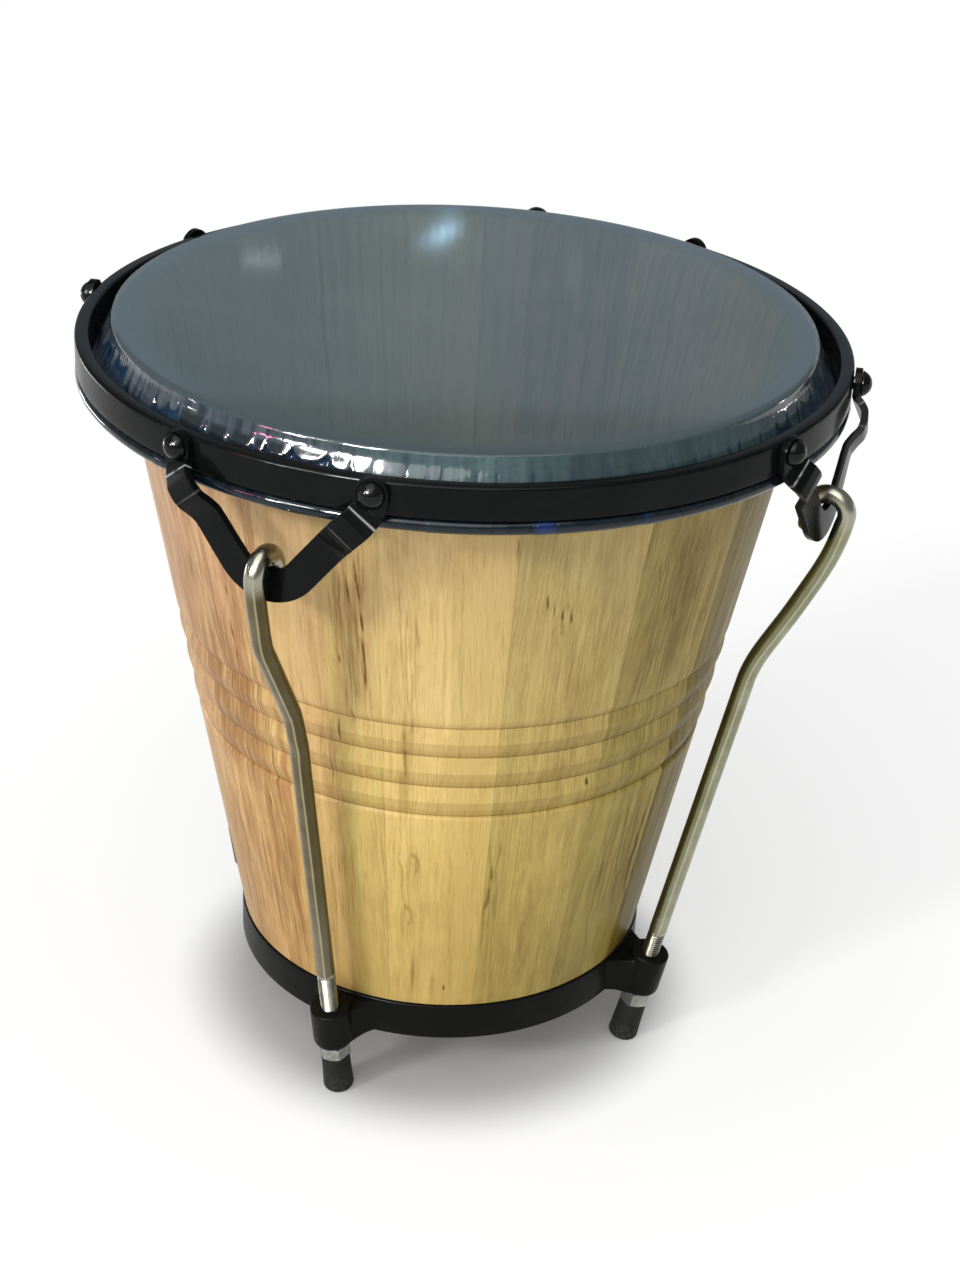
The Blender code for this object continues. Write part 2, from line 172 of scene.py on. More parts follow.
def mesh_object(name, co, faces, mats, sharp=35.0, index=None, fix=True):
    me = bpy.data.meshes.new(name)
    me.from_pydata(np.asarray(co, float).reshape(-1, 3).tolist(), [], faces)
    for m in mats:
        me.materials.append(m)
    if index is not None:
        me.polygons.foreach_set("material_index", np.asarray(index, np.int32))
    if fix:
        bm = bmesh.new()
        bm.from_mesh(me)
        bmesh.ops.recalc_face_normals(bm, faces=bm.faces)
        bm.to_mesh(me)
        bm.free()
    me.shade_smooth()
    if sharp:
        me.set_sharp_from_angle(angle=math.radians(sharp))
    o = bpy.data.objects.new(name, me)
    SCENE.collection.objects.link(o)
    return o


def vector_attribute(me, name, values):
    a = me.attributes.new(name, "FLOAT_VECTOR", "POINT")
    a.data.foreach_set("vector", np.asarray(values, np.float32).ravel())


def applied(o):
    """o with its modifiers made real."""
    dg = bpy.context.evaluated_depsgraph_get()
    me = bpy.data.meshes.new_from_object(o.evaluated_get(dg), depsgraph=dg)
    old = o.data
    o.modifiers.clear()
    o.data = me
    bpy.data.meshes.remove(old)
    me.name = o.name
    return o


def arc(cx, cz, r, a0, a1, n):
    """Points on a rounded corner of a profile, angles in degrees."""
    return [(cx + r * math.cos(math.radians(a)), cz + r * math.sin(math.radians(a)))
            for a in np.linspace(a0, a1, n)]


def turned(name, profile, steps, mats, sharp=35.0, matrix=None, index=None):
    """Closed solid of revolution from a closed profile of (r, z) in mm. Points
    on the axis may only be the first and the last."""
    prof = list(profile)
    first = last = None
    if prof[0][0] < 1e-6:
        first = prof.pop(0)
    if prof[-1][0] < 1e-6:
        last = prof.pop()
    th = np.linspace(0.0, 2 * math.pi, steps, endpoint=False)
    r = np.array([p[0] for p in prof])[None, :]
    z = np.array([p[1] for p in prof])[None, :]
    co = np.stack([r * np.cos(th)[:, None], r * np.sin(th)[:, None], z + 0 * th[:, None]], -1)
    n = len(prof)
    faces = quads(steps, n, wrap_u=True, wrap_v=first is None)
    co = co.reshape(-1, 3)
    if first is not None:
        a = len(co)
        co = np.vstack([co, [[0, 0, first[1]], [0, 0, last[1]]]])
        for i in range(steps):
            j = (i + 1) % steps
            faces.append([a, j * n, i * n])
            faces.append([a + 1, i * n + n - 1, j * n + n - 1])
    co = co * MM
    if matrix is not None:
        m = np.array(matrix)
        co = co @ m[:3, :3].T + m[:3, 3]
    return mesh_object(name, co, faces, mats, sharp=sharp, index=index)


class Ring:
    """Smooth repeatable noise round a circle: value(angle) in about -1..1."""

    def __init__(self, count, seed, uneven=0.32):
        rng = np.random.default_rng(seed)
        self.count = count
        self.knots = rng.uniform(-1.0, 1.0, count)
        self.jitter = rng.uniform(-uneven, uneven, count)
        self.own = rng.uniform(0.0, 1.0, count)

    def __call__(self, angle):
        t = (np.asarray(angle) / (2 * math.pi) * self.count) % self.count
        i = np.floor(t).astype(int)
        f = t - i
        f = f * f * (3 - 2 * f)
        return self.knots[i % self.count] * (1 - f) + self.knots[(i + 1) % self.count] * f

    def cells(self, angle):
        """(number of the cell, place in the cell 0..1), cells of uneven width."""
        edges = np.sort((np.arange(self.count) + self.jitter) / self.count * 2 * math.pi)
        a = np.mod(np.asarray(angle) - edges[0], 2 * math.pi) + edges[0]
        i = np.clip(np.searchsorted(edges, a, side="right") - 1, 0, self.count - 1)
        nxt = np.append(edges[1:], edges[0] + 2 * math.pi)
        return i, (a - edges[i]) / (nxt[i] - edges[i])


# ================================================================= the shell
CONE_R1, CONE_Z1 = 142.0, -37.5
CONE_R2, CONE_Z2 = 94.6, -293.7
WALL = 10.0
STAVES = 16
JOINT_AZ = -54.6
PITCH = 360.0 / STAVES
SPIGOT_R = 91.9
SHELL_BOTTOM = -308.3
SHOULDER = -293.4
GROOVES = (-133.2, -148.4, -164.6, -180.4)
CREST = 0.48              # where a bead is highest, as a share of its way down
VIEW_TURN = 25.4          # the photograph's azimuth to the drum's


def cone_r(z):
    return CONE_R1 + (CONE_R1 - CONE_R2) / (CONE_Z1 - CONE_Z2) * (z - CONE_Z1)


def bead_lift(z):
    """Height of the turned surface over the plain cone."""
    if z > GROOVES[0]:
        t = (z - GROOVES[0]) / 4.6
        return -1.2 * max(0.0, 1.0 - t) ** 1.35
    if z < GROOVES[-1]:
        t = (GROOVES[-1] - z) / 1.8
        return -1.2 * max(0.0, 1.0 - t) ** 1.2
    for g, low in zip(GROOVES, GROOVES[1:]):
        if g >= z >= low:
            f = (g - z) / (g - low)
            if f < CREST:
                return 0.25 - 1.5 * ((CREST - f) / CREST) ** 1.22
            return 0.25 - 1.5 * ((f - CREST) / (1.0 - CREST)) ** 1.35
    return 0.0


def bead_tone(z):
    """(share of painted shade on the lower flank, share of the painted shade line in the groove)."""
    if z >= GROOVES[0]:
        d = z - GROOVES[0]
        return 0.95 * max(0.0, 1.0 - d / 3.4), max(0.0, 1.0 - d / 1.5)
    for k, (g, low) in enumerate(zip(GROOVES, GROOVES[1:])):
        if g > z >= low:
            f = (g - z) / (g - low)
            shade = 0.58 * smooth01((f - CREST + 0.01) / 0.05) + 0.42 * smooth01((f - 0.72) / 0.12)
            return shade, smooth01((f - (0.90 if k < 2 else 0.93)) / 0.06)
    return 0.0, max(0.0, 1.0 - (GROOVES[-1] - z) / 0.7)


def stave_section():
    """(points, material of the side that starts at each): 0 varnished, 1 raw."""
    pts, mats = [], []

    def add(r, z, m):
        pts.append((r, z))
        mats.append(m)

    top = cone_r(-2.4)
    for r, z in arc(top - 2.0, -2.7, 2.0, 88, 12, 6):
        add(r, z, 1)
    z = -4.0
    while z > -127.0:
        add(cone_r(z), z, 0)
        z -= 3.0 if z > -24.0 else 1.5
    zs = list(np.arange(-127.5, -184.5, -0.5)) + list(GROOVES)
    zs += [g - CREST * (g - low) for g, low in zip(GROOVES, GROOVES[1:])]
    zs += [g - 0.06 for g in GROOVES]
    for z in sorted(zs, reverse=True):
        add(cone_r(z) + bead_lift(z), z, 0)
    z = -186.5
    while z > SHOULDER + 1.5:
        add(cone_r(z), z, 0)
        z -= 1.5
    add(cone_r(SHOULDER + 0.5), SHOULDER + 0.5, 0)
    add(cone_r(SHOULDER) - 0.35, SHOULDER, 1)
    add(SPIGOT_R, SHOULDER - 0.05, 1)
    add(SPIGOT_R, SHELL_BOTTOM + 0.4, 1)
    add(SPIGOT_R - 0.4, SHELL_BOTTOM, 1)
    add(cone_r(SHELL_BOTTOM) - WALL + 0.8, SHELL_BOTTOM, 1)
    add(cone_r(SHELL_BOTTOM) - WALL, SHELL_BOTTOM + 0.8, 1)
    for z in np.linspace(SHELL_BOTTOM + 12.0, -8.0, 36):
        add(cone_r(z) - WALL, z, 1)
    add(cone_r(-3.2) - 7.4, -2.0, 1)
    add(cone_r(-3.2) - 6.6, -1.0, 1)
    return pts, mats


# Tones of the boards, starting with the board to the right of the joint that
# faces the viewer. second is a tone that takes over past split mm from the
# board's middle, on the side given; zone is how far red-brown clouds show.
TONES = {
    # painted shade: boards 0 to 3, which turn away from the key light, are darker, board 2 most of all
    0: dict(light=(0.535, 0.408, 0.164), dark=(0.372, 0.266, 0.095), zone=0.12),
    1: dict(light=(0.425, 0.328, 0.112), dark=(0.255, 0.180, 0.055), streak=1.0, zone=0.3),
    2: dict(light=(0.262, 0.196, 0.044), dark=(0.140, 0.097, 0.020), streak=0.9),
    3: dict(light=(0.400, 0.295, 0.100), dark=(0.240, 0.165, 0.050)),
    4: dict(light=(0.640, 0.430, 0.225), dark=(0.430, 0.250, 0.110), zone=0.4),
    5: dict(light=(0.680, 0.500, 0.235), dark=(0.460, 0.315, 0.125)),
    6: dict(light=(0.610, 0.455, 0.190), dark=(0.390, 0.270, 0.100), streak=0.9),
    7: dict(light=(0.650, 0.455, 0.220), dark=(0.450, 0.280, 0.115), zone=0.3),
    8: dict(light=(0.680, 0.520, 0.250), dark=(0.480, 0.335, 0.135)),
    9: dict(light=(0.630, 0.420, 0.210), dark=(0.430, 0.250, 0.110), second=(0.66, 0.48, 0.22), split=8.0, side=1, zone=0.5),
    10: dict(light=(0.610, 0.445, 0.195), dark=(0.400, 0.275, 0.105)),
    11: dict(light=(0.670, 0.485, 0.225), dark=(0.450, 0.305, 0.120), streak=0.8),
    12: dict(light=(0.640, 0.400, 0.225), dark=(0.400, 0.215, 0.100), streak=0.9, zone=0.8),
    13: dict(light=(0.680, 0.425, 0.226), dark=(0.400, 0.210, 0.095), second=(0.690, 0.470, 0.230), split=6.0, side=1, streak=1.0, zone=0.9),
    14: dict(light=(0.745, 0.498, 0.252), dark=(0.545, 0.336, 0.148), second=(0.620, 0.485, 0.200), split=1.5, side=1, zone=0.25),
    15: dict(light=(0.745, 0.545, 0.250), dark=(0.560, 0.388, 0.155), second=(0.630, 0.465, 0.196), split=4.0, side=1, zone=0.15),
}
# the unvarnished inside, where it differs
RAW = {
    5: dict(light=(0.58, 0.40, 0.27), dark=(0.26, 0.155, 0.115)),
    6: dict(light=(0.46, 0.28, 0.215), dark=(0.17, 0.09, 0.075), second=(0.42, 0.25, 0.195), split=0.0, side=1),
    7: dict(light=(0.74, 0.63, 0.35), dark=(0.54, 0.45, 0.24), second=(0.40, 0.24, 0.19), split=-4.0, side=-1),
    8: dict(light=(0.74, 0.63, 0.35), dark=(0.54, 0.44, 0.24)),
    9: dict(light=(0.66, 0.54, 0.32), dark=(0.44, 0.34, 0.20)),
}

# Dark veins of single boards: (azimuth as the viewer sees it at the top, z
# there, azimuth and z at the lower end, width mm, strength, wobble mm)
VEINS = (
    (-108, -55, -107.7, -81.5, 0.62, 0.85, 0.4), (-106.4, -48, -105.8, -79, 0.62, 0.85, 0.6),
    (-105.8, -78, -105.4, -88, 1, 0.95, 0.4), (-105.5, -86, -105.2, -118, 0.75, 1, 0.3),
    (-105.3, -103, -105.2, -116, 1, 0.9, 0.2), (-109.2, -59, -109.3, -95, 0.6, 0.65, 0.5),
    (-109, -116, -109.3, -131, 0.6, 0.55, 0.4), (-111.2, -64, -111.1, -93, 0.6, 0.4, 0.5),
    (-110.2, -101, -110.1, -105.5, 0.8, 0.75, 0.2), (-98.8, -65, -98.4, -80, 0.6, 0.42, 0.8),
    (-97.7, -73, -97.4, -83, 0.6, 0.5, 0.4), (-96.1, -73, -96, -97, 0.6, 0.5, 0.6),
    (-98.6, -98, -98.2, -106, 0.6, 0.45, 0.4), (-97.1, -102, -96.5, -115, 0.5, 0.35, 0.4),
    (-96.9, -128, -96.8, -137, 0.8, 0.6, 0.3), (-108.8, -128, -107.9, -135, 0.8, 0.6, 0.4),
    (-111.2, -136, -111.1, -147, 0.9, 0.8, 0.3), (-104.6, -117, -104.4, -130, 0.6, 0.45, 0.3),
    (-103.4, -60, -103.2, -95, 0.5, 0.22, 0.4), (-106.8, -90, -106.6, -128, 0.6, 0.3, 0.6),
    (-100.6, -80, -100.5, -120, 0.5, 0.15, 0.4), (-110.4, -60, -110.2, -85, 0.5, 0.35, 0.4),
    (-97.9, -137, -98.1, -180, 0.8, 0.5, 0.8), (-145.6, -88, -145.5, -94, 1.2, 0.5, 0.4),
    (-141.3, -93, -140.1, -122, 1, 0.55, 0.8), (-140.6, -108, -140.2, -120, 1.6, 0.5, 0.4),
    (-134.7, -98, -134.6, -118, 1, 0.75, 0.5), (-134.5, -119, -134.8, -126, 1.3, 0.75, 0.4),
    (-138.7, -89, -138, -99, 0.9, 0.45, 0.6), (-134.4, -87, -134.3, -91, 0.9, 0.75, 0.2),
    (-131.8, -111, -131.7, -117, 0.7, 0.5, 0.2), (-136.9, -78, -136.6, -92, 0.7, 0.35, 0.5),
    (-143, -84, -142.4, -108, 0.8, 0.35, 0.8), (-148, -116, -147.6, -124, 1.4, 0.45, 0.6),
    (-146, -118, -145.6, -124, 1.2, 0.45, 0.5), (-138.7, -149, -138.2, -195, 2.4, 0.55, 1.2),
    (-139.8, -134, -140, -143, 1.6, 0.4, 0.6), (-147.7, -155, -146.4, -164, 1.8, 0.6, 0.8),
    (-149.2, -171, -148.2, -181, 2, 0.6, 0.8), (-128.7, -138, -128.8, -200, 1, 0.5, 0.5),
    (-131.2, -148, -131, -174, 0.9, 0.3, 0.5), (-136.2, -148, -135.2, -151, 1.2, 0.55, 0.3),
    (-131.9, -192, -131.7, -199, 1.2, 0.6, 0.3), (-136.2, -180, -136.3, -194, 1, 0.4, 0.4),
    (-141.2, -150, -141, -160, 1.4, 0.45, 0.5), (-133.4, -136, -133.6, -144, 0.9, 0.4, 0.4),
    (-129.9, -186, -128.6, -226, 0.9, 0.45, 0.8), (-97.9, -128, -98.2, -180, 1.3, 0.62, 0.8),
    (-97.6, -120, -98, -186, 4.5, 0.28, 1.2), (-98.3, -184, -98.9, -236, 0.9, 0.42, 2),
    (-96.2, -256, -96.4, -290, 1, 0.55, 1.2), (-91.4, -272, -91.5, -291, 0.8, 0.45, 0.8),
    (-88.1, -280.5, -88.1, -283.5, 1.2, 0.95, 0.2), (-93.6, -64, -93, -92, 0.8, 0.3, 1),
    (-88, -190, -87.2, -288, 0.8, 0.25, 1.4), (-80.6, -37, -80.2, -49, 0.9, 0.6, 0.5),
    (-81.3, -80, -80.9, -96, 0.7, 0.4, 0.6), (-74.5, -66, -74.1, -73, 0.77, 0.8, 0.5),
    (-71.5, -73, -70.8, -85, 1.1, 0.98, 0.6), (-72.9, -83, -72.8, -87, 0.72, 0.85, 0.3),
    (-69.8, -75, -69.5, -81, 0.72, 0.75, 0.4), (-73.3, -70.5, -73, -77, 0.61, 0.7, 0.3),
    (-70.9, -68, -70.4, -74, 0.5, 0.5, 0.3), (-67.4, -182, -67, -214, 0.9, 0.32, 1.2),
    (-62.5, -84, -62, -122, 0.8, 0.25, 1), (-80, -190, -78.9, -246, 1.2, 0.62, 1.6),
    (-78, -186, -77.5, -220, 0.9, 0.45, 1), (-77, -208, -76, -284, 0.8, 0.3, 1.2),
    (-69, -215, -68.5, -285, 3, 0.22, 2), (-59.9, -166.6, -59.6, -170, 1.4, 0.95, 0.2),
    (-45.9, -46, -44.8, -106, 0.81, 0.62, 1.4), (-54, -54, -52.7, -84, 0.74, 0.48, 0.8),
    (-47.9, -66, -47.4, -104, 0.81, 0.6, 1.4), (-46.8, -55, -46.2, -92, 0.62, 0.55, 1),
    (-42.6, -44, -41.8, -112, 0.74, 0.5, 1.2), (-49.8, -44, -49.3, -88, 0.56, 0.45, 1),
    (-46, -40, -45.2, -126, 7, 0.3, 2), (-51.5, -96, -50.8, -128, 0.56, 0.35, 1),
    (-45.3, -184, -41.6, -256, 0.99, 0.5, 1.5), (-37.9, -186, -36.1, -256, 1.74, 0.7, 1.5),
    (-40.2, -196, -38.6, -248, 0.74, 0.45, 1), (-50, -196, -48, -280, 0.68, 0.3, 1.4),
    (-34.2, -160, -34, -272, 2.23, 0.55, 2), (-31.5, -60, -31, -120, 0.87, 0.45, 1.5),
    (-27, -50, -26.4, -125, 0.68, 0.4, 1.5), (-24, -190, -23, -280, 0.87, 0.4, 1.5),
    (-145.8, -186, -147.9, -260, 1.8, 0.5, 2), (-143, -200, -143.8, -278, 1.1, 0.4, 1.6),
    (-127.8, -104, -127, -140, 1.2, 0.42, 1.2), (-120, -212, -119.4, -288, 0.9, 0.28, 1.4),
    (-150.5, -190, -151.5, -280, 1.6, 0.35, 2), (-155, -60, -156, -160, 1.6, 0.4, 2),
)
# Crowds of fine streaks: (azimuth as seen, spread, z top, z bottom, how many,
# width mm, strength)
CROWDS = (
    (-107.0, 1.7, -40, -132, 20, 0.62, 0.54), (-110.4, 0.9, -46, -116, 8, 0.62, 0.46),
    (-97.4, 1.2, -60, -150, 8, 0.52, 0.36), (-137.0, 5.5, -84, -200, 26, 0.78, 0.48),
    (-144.5, 4.5, -104, -200, 20, 0.95, 0.50), (-136.0, 6.5, -195, -285, 24, 0.78, 0.46),
    (-46.5, 4.5, -42, -140, 28, 0.46, 0.56), (-38.5, 3.0, -56, -130, 10, 0.55, 0.52),
    (-44.0, 5.0, -150, -266, 20, 0.50, 0.46), (-68.0, 7.0, -56, -150, 10, 0.46, 0.30),
    (-92.0, 6.0, -50, -170, 10, 0.46, 0.24), (-120.0, 5.0, -190, -285, 10, 0.60, 0.36),
)


def crowded():
    rng = np.random.default_rng(77)
    rows = []
    for az, spread, top, bottom, count, width, strength in CROWDS:
        for k in range(count):
            a = az + 0.62 * spread * rng.normal()
            length = (top - bottom) * rng.uniform(0.22, 0.62)
            z0 = top - rng.uniform(0.0, (top - bottom) - length)
            rows.append((a, z0, a + length * rng.uniform(0.0, 0.010), z0 - length,
                         width * rng.uniform(0.7, 1.3), strength * rng.uniform(0.60, 1.05), 0.5, 0.86))
    return tuple(rows)


VEINS = VEINS + crowded()
# Small curls in the grain: (azimuth as seen, z, size mm, strength)
CURLS = ((-96.6, -208.5, 3.4, 0.75), (-98.3, -239.5, 3.8, 0.60), (-72.0, -73.5, 3.0, 0.15),
         (-106.0, -96.0, 3.5, 0.25), (-140.5, -112.0, 4.5, 0.25), (-44.0, -205.0, 4.0, 0.25))


def board_of(az_seen):
    """(board, azimuth of its middle) for an azimuth as the viewer sees it."""
    az = az_seen + VIEW_TURN
    i = int(math.floor((az - JOINT_AZ) / PITCH)) % STAVES
    return i, JOINT_AZ + (math.floor((az - JOINT_AZ) / PITCH) + 0.5) * PITCH, az


def features_of(board):
    """Veins and curls of a board as mm across it, plus the soft patches and painted shadows."""
    veins, curls, patches = [], [], []
    for az0, z0, az1, z1, w, s, wob, *whole in VEINS:
        i, mid, a = board_of((az0 + az1) / 2)
        if i == board:
            u0 = math.radians(az0 + VIEW_TURN - mid) * cone_r(z0)
            u1 = math.radians(az1 + VIEW_TURN - mid) * cone_r(z1)
            veins.append((u0, z0, u1, z1, w, s, wob, whole[0] if whole else 0.50))
    for az, z, size, s in CURLS:
        i, mid, a = board_of(az)
        if i == board:
            curls.append((math.radians(a - mid) * cone_r(z), z, size, s))
    for az, z, w, h, s in PATCHES_AND_SHADOWS:
        i, mid, a = board_of(az)
        if i == board:
            patches.append((math.radians(a - mid) * cone_r(z), z, w, h, s))
    return veins, curls, patches


# Soft patches of tone and painted shadows (the strap's shadow at -106.2, the rim's at -100, the rod's at -114.2):
# (azimuth as seen, z, half width mm, half height mm, darker > 0)
PATCHES_AND_SHADOWS = (
    (-143.0, -100, 14, 46, 0.35), (-138.0, -150, 15, 52, 0.50), (-145.5, -158, 10, 40, 0.35),
    (-152.0, -110, 10, 60, 0.30), (-131.0, -205, 10, 60, 0.20), (-141.0, -235, 9, 50, 0.25),
    (-109.0, -80, 8, 44, 0.26), (-106.2, -60, 4.0, 15, 0.45), (-100.0, -46, 11, 8, 0.36), (-108.0, -104, 5, 34, 0.22), (-103.2, -90, 3.5, 44, -0.35),
    (-110.5, -256, 6, 24, -0.12), (-112.6, -212, 7, 50, 0.36), (-114.2, -158, 4.5, 34, 0.48), (-102.6, -210, 8, 40, 0.26), (-94.6, -206, 8, 32, 0.12), (-122.0, -90, 11, 50, -0.20), (-120.0, -240, 8, 40, 0.18),
    (-97.6, -150, 5, 40, 0.28), (-93.0, -90, 14, 40, -0.22), (-96.5, -212, 6, 16, 0.30),
    (-98.0, -243, 6, 14, 0.26), (-86.0, -110, 6, 50, -0.12), (-90.0, -200, 10, 30, -0.12),
    (-74.0, -96, 8, 46, -0.14), (-74.0, -190, 8, 36, 0.10), (-66.0, -150, 12, 60, 0.14), (-62.0, -90, 10, 40, 0.10),
    (-78.0, -230, 5, 50, 0.22), (-70.0, -245, 10, 44, -0.10),
    (-49.0, -88, 9, 48, 0.40), (-54.0, -70, 4, 30, 0.20), (-44.0, -70, 6, 60, 0.35),
    (-50.0, -262, 11, 30, -0.55), (-41.0, -228, 6, 48, 0.50), (-48.0, -155, 10, 26, 0.22),
    (-30.0, -120, 10, 60, 0.2),
)

# The unvarnished inside, on the far wall as seen through the head: streaks
# (azimuth as seen, z top, z bottom, width mm, strength)
INSIDE = ((165.0, -30, -150, 3.0, 0.8), (160.0, -8, -170, 2.4, 0.5), (151.0, -8, -120, 3.0, 0.3),
          (139.0, -8, -200, 2.6, 0.35), (121.5, -8, -230, 2.6, 0.95), (119.0, -8, -90, 4.0, 0.45),
          (115.5, -8, -80, 5.0, 0.55), (112.8, -8, -60, 3.0, 0.45), (108.0, -20, -160, 2.0, 0.35),
          (103.0, -8, -120, 2.2, 0.3), (95.0, -8, -210, 2.0, 0.35), (86.9, -8, -250, 1.6, 0.8),
          (83.5, -8, -90, 3.0, 0.55), (80.5, -8, -150, 2.4, 0.5), (76.5, -8, -70, 3.2, 0.5),
          (72.0, -8, -180, 2.4, 0.45), (68.0, -8, -120, 3.4, 0.45), (63.5, -8, -220, 2.2, 0.5),
          (58.0, -8, -160, 3.0, 0.5), (53.0, -8, -240, 1.8, 0.8), (48.5, -8, -130, 2.6, 0.4),
          (43.5, -10, -200, 4.5, 0.55), (38.0, -8, -160, 2.4, 0.4), (31.0, -8, -200, 2.6, 0.4),
          (22.0, -8, -180, 3.0, 0.4), (16.0, -8, -220, 2.6, 0.6), (8.0, -8, -160, 3.0, 0.4))


def value_noise(x, y, seed):
    """Smooth repeatable noise 0..1 on arrays."""
    table = np.random.default_rng(seed).uniform(0.0, 1.0, (64, 64))
    xi, yi = np.floor(x).astype(int), np.floor(y).astype(int)
    fx, fy = x - xi, y - yi
    fx, fy = fx * fx * (3 - 2 * fx), fy * fy * (3 - 2 * fy)
    a, b = table[xi % 64, yi % 64], table[(xi + 1) % 64, yi % 64]
    c, d = table[xi % 64, (yi + 1) % 64], table[(xi + 1) % 64, (yi + 1) % 64]
    return (a * (1 - fx) + b * fx) * (1 - fy) + (c * (1 - fx) + d * fx) * fy


def paint_board(board, u, z, inside):
    """Dark share, and patch tone with its painted shadows, of every point of a board."""
    veins, curls, patches = features_of(board)
    dark = np.zeros_like(u)
    patch = np.zeros_like(u)
    for k, (u0, z0, u1, z1, w, strength, wobble, whole) in enumerate(veins):
        seed = board * 100 + k
        if z0 - z1 < 16.0:
            z0, z1 = z0 + 0.3 * (z0 - z1), z1 - 0.3 * (z0 - z1)
        wave = (value_noise(z * 0.055 + seed, 0 * z, seed) - 0.5) + 0.45 * (value_noise(z * 0.17, 0 * z + 3, seed) - 0.5)
        line = u0 + (z - z0) * (u1 - u0) / (z1 - z0) + wave * wobble * 1.9
        width = 1.6 * w * (0.50 + 0.75 * value_noise(z * 0.11 + 9, 0 * z, seed + 1))
        part = smooth01((width * 0.66 - np.abs(u - line)) / (width * 0.42))
        fade = min(11.0, (z0 - z1) * 0.42)
        here = smooth01((z - z1) / fade) * smooth01((z0 - z) / fade)
        broken = whole + (1.0 - whole) * smooth01((value_noise(u * 0.8 + k, z * 0.16, seed + 2) - 0.28) / 0.24)
        dark = np.maximum(dark, part * here * broken * min(1.0, strength * 1.1))
    for cu, cz, size, strength in curls:
        du, dz = (u - cu) / (size * 0.8), (z - cz) / (size * 1.5)
        ring = smooth01((0.34 - np.abs(np.hypot(du, dz) - 1.0)) / 0.30)
        dark = np.maximum(dark, ring * smooth01((du + 0.4 * dz + 0.2) / 0.7) * strength * 0.8)
    for cu, cz, w, h, strength in patches:
        rough_edge = 0.5 * (value_noise(u * 0.30, z * 0.045, board + 7) - 0.5)
        d = np.hypot((u - cu) / w, (z - cz) / h) + rough_edge
        patch = patch + 1.2 * strength * smooth01((1.15 - d) / 0.9)
    for k, (az, z0, z1, w, strength) in enumerate(INSIDE):
        i, mid, a = board_of(az)
        if i != board:
            continue
        line = math.radians(a - mid) * (cone_r(z) - WALL) + 1.6 * (value_noise(z * 0.04, 0 * z, 500 + k) - 0.5)
        part = smooth01((w * 0.8 - np.abs(u - line)) / (w * 0.8))
        here = smooth01((z - z1) / 30.0) * smooth01((z0 + 12.0 - z) / 12.0)
        broken = 0.35 + 0.65 * smooth01((value_noise(u * 0.5, z * 0.07, 700 + k) - 0.25) / 0.3)
        dark = np.where(inside, np.maximum(dark, part * here * broken * strength), dark)
    return dark, np.clip(patch, -1.0, 1.0)


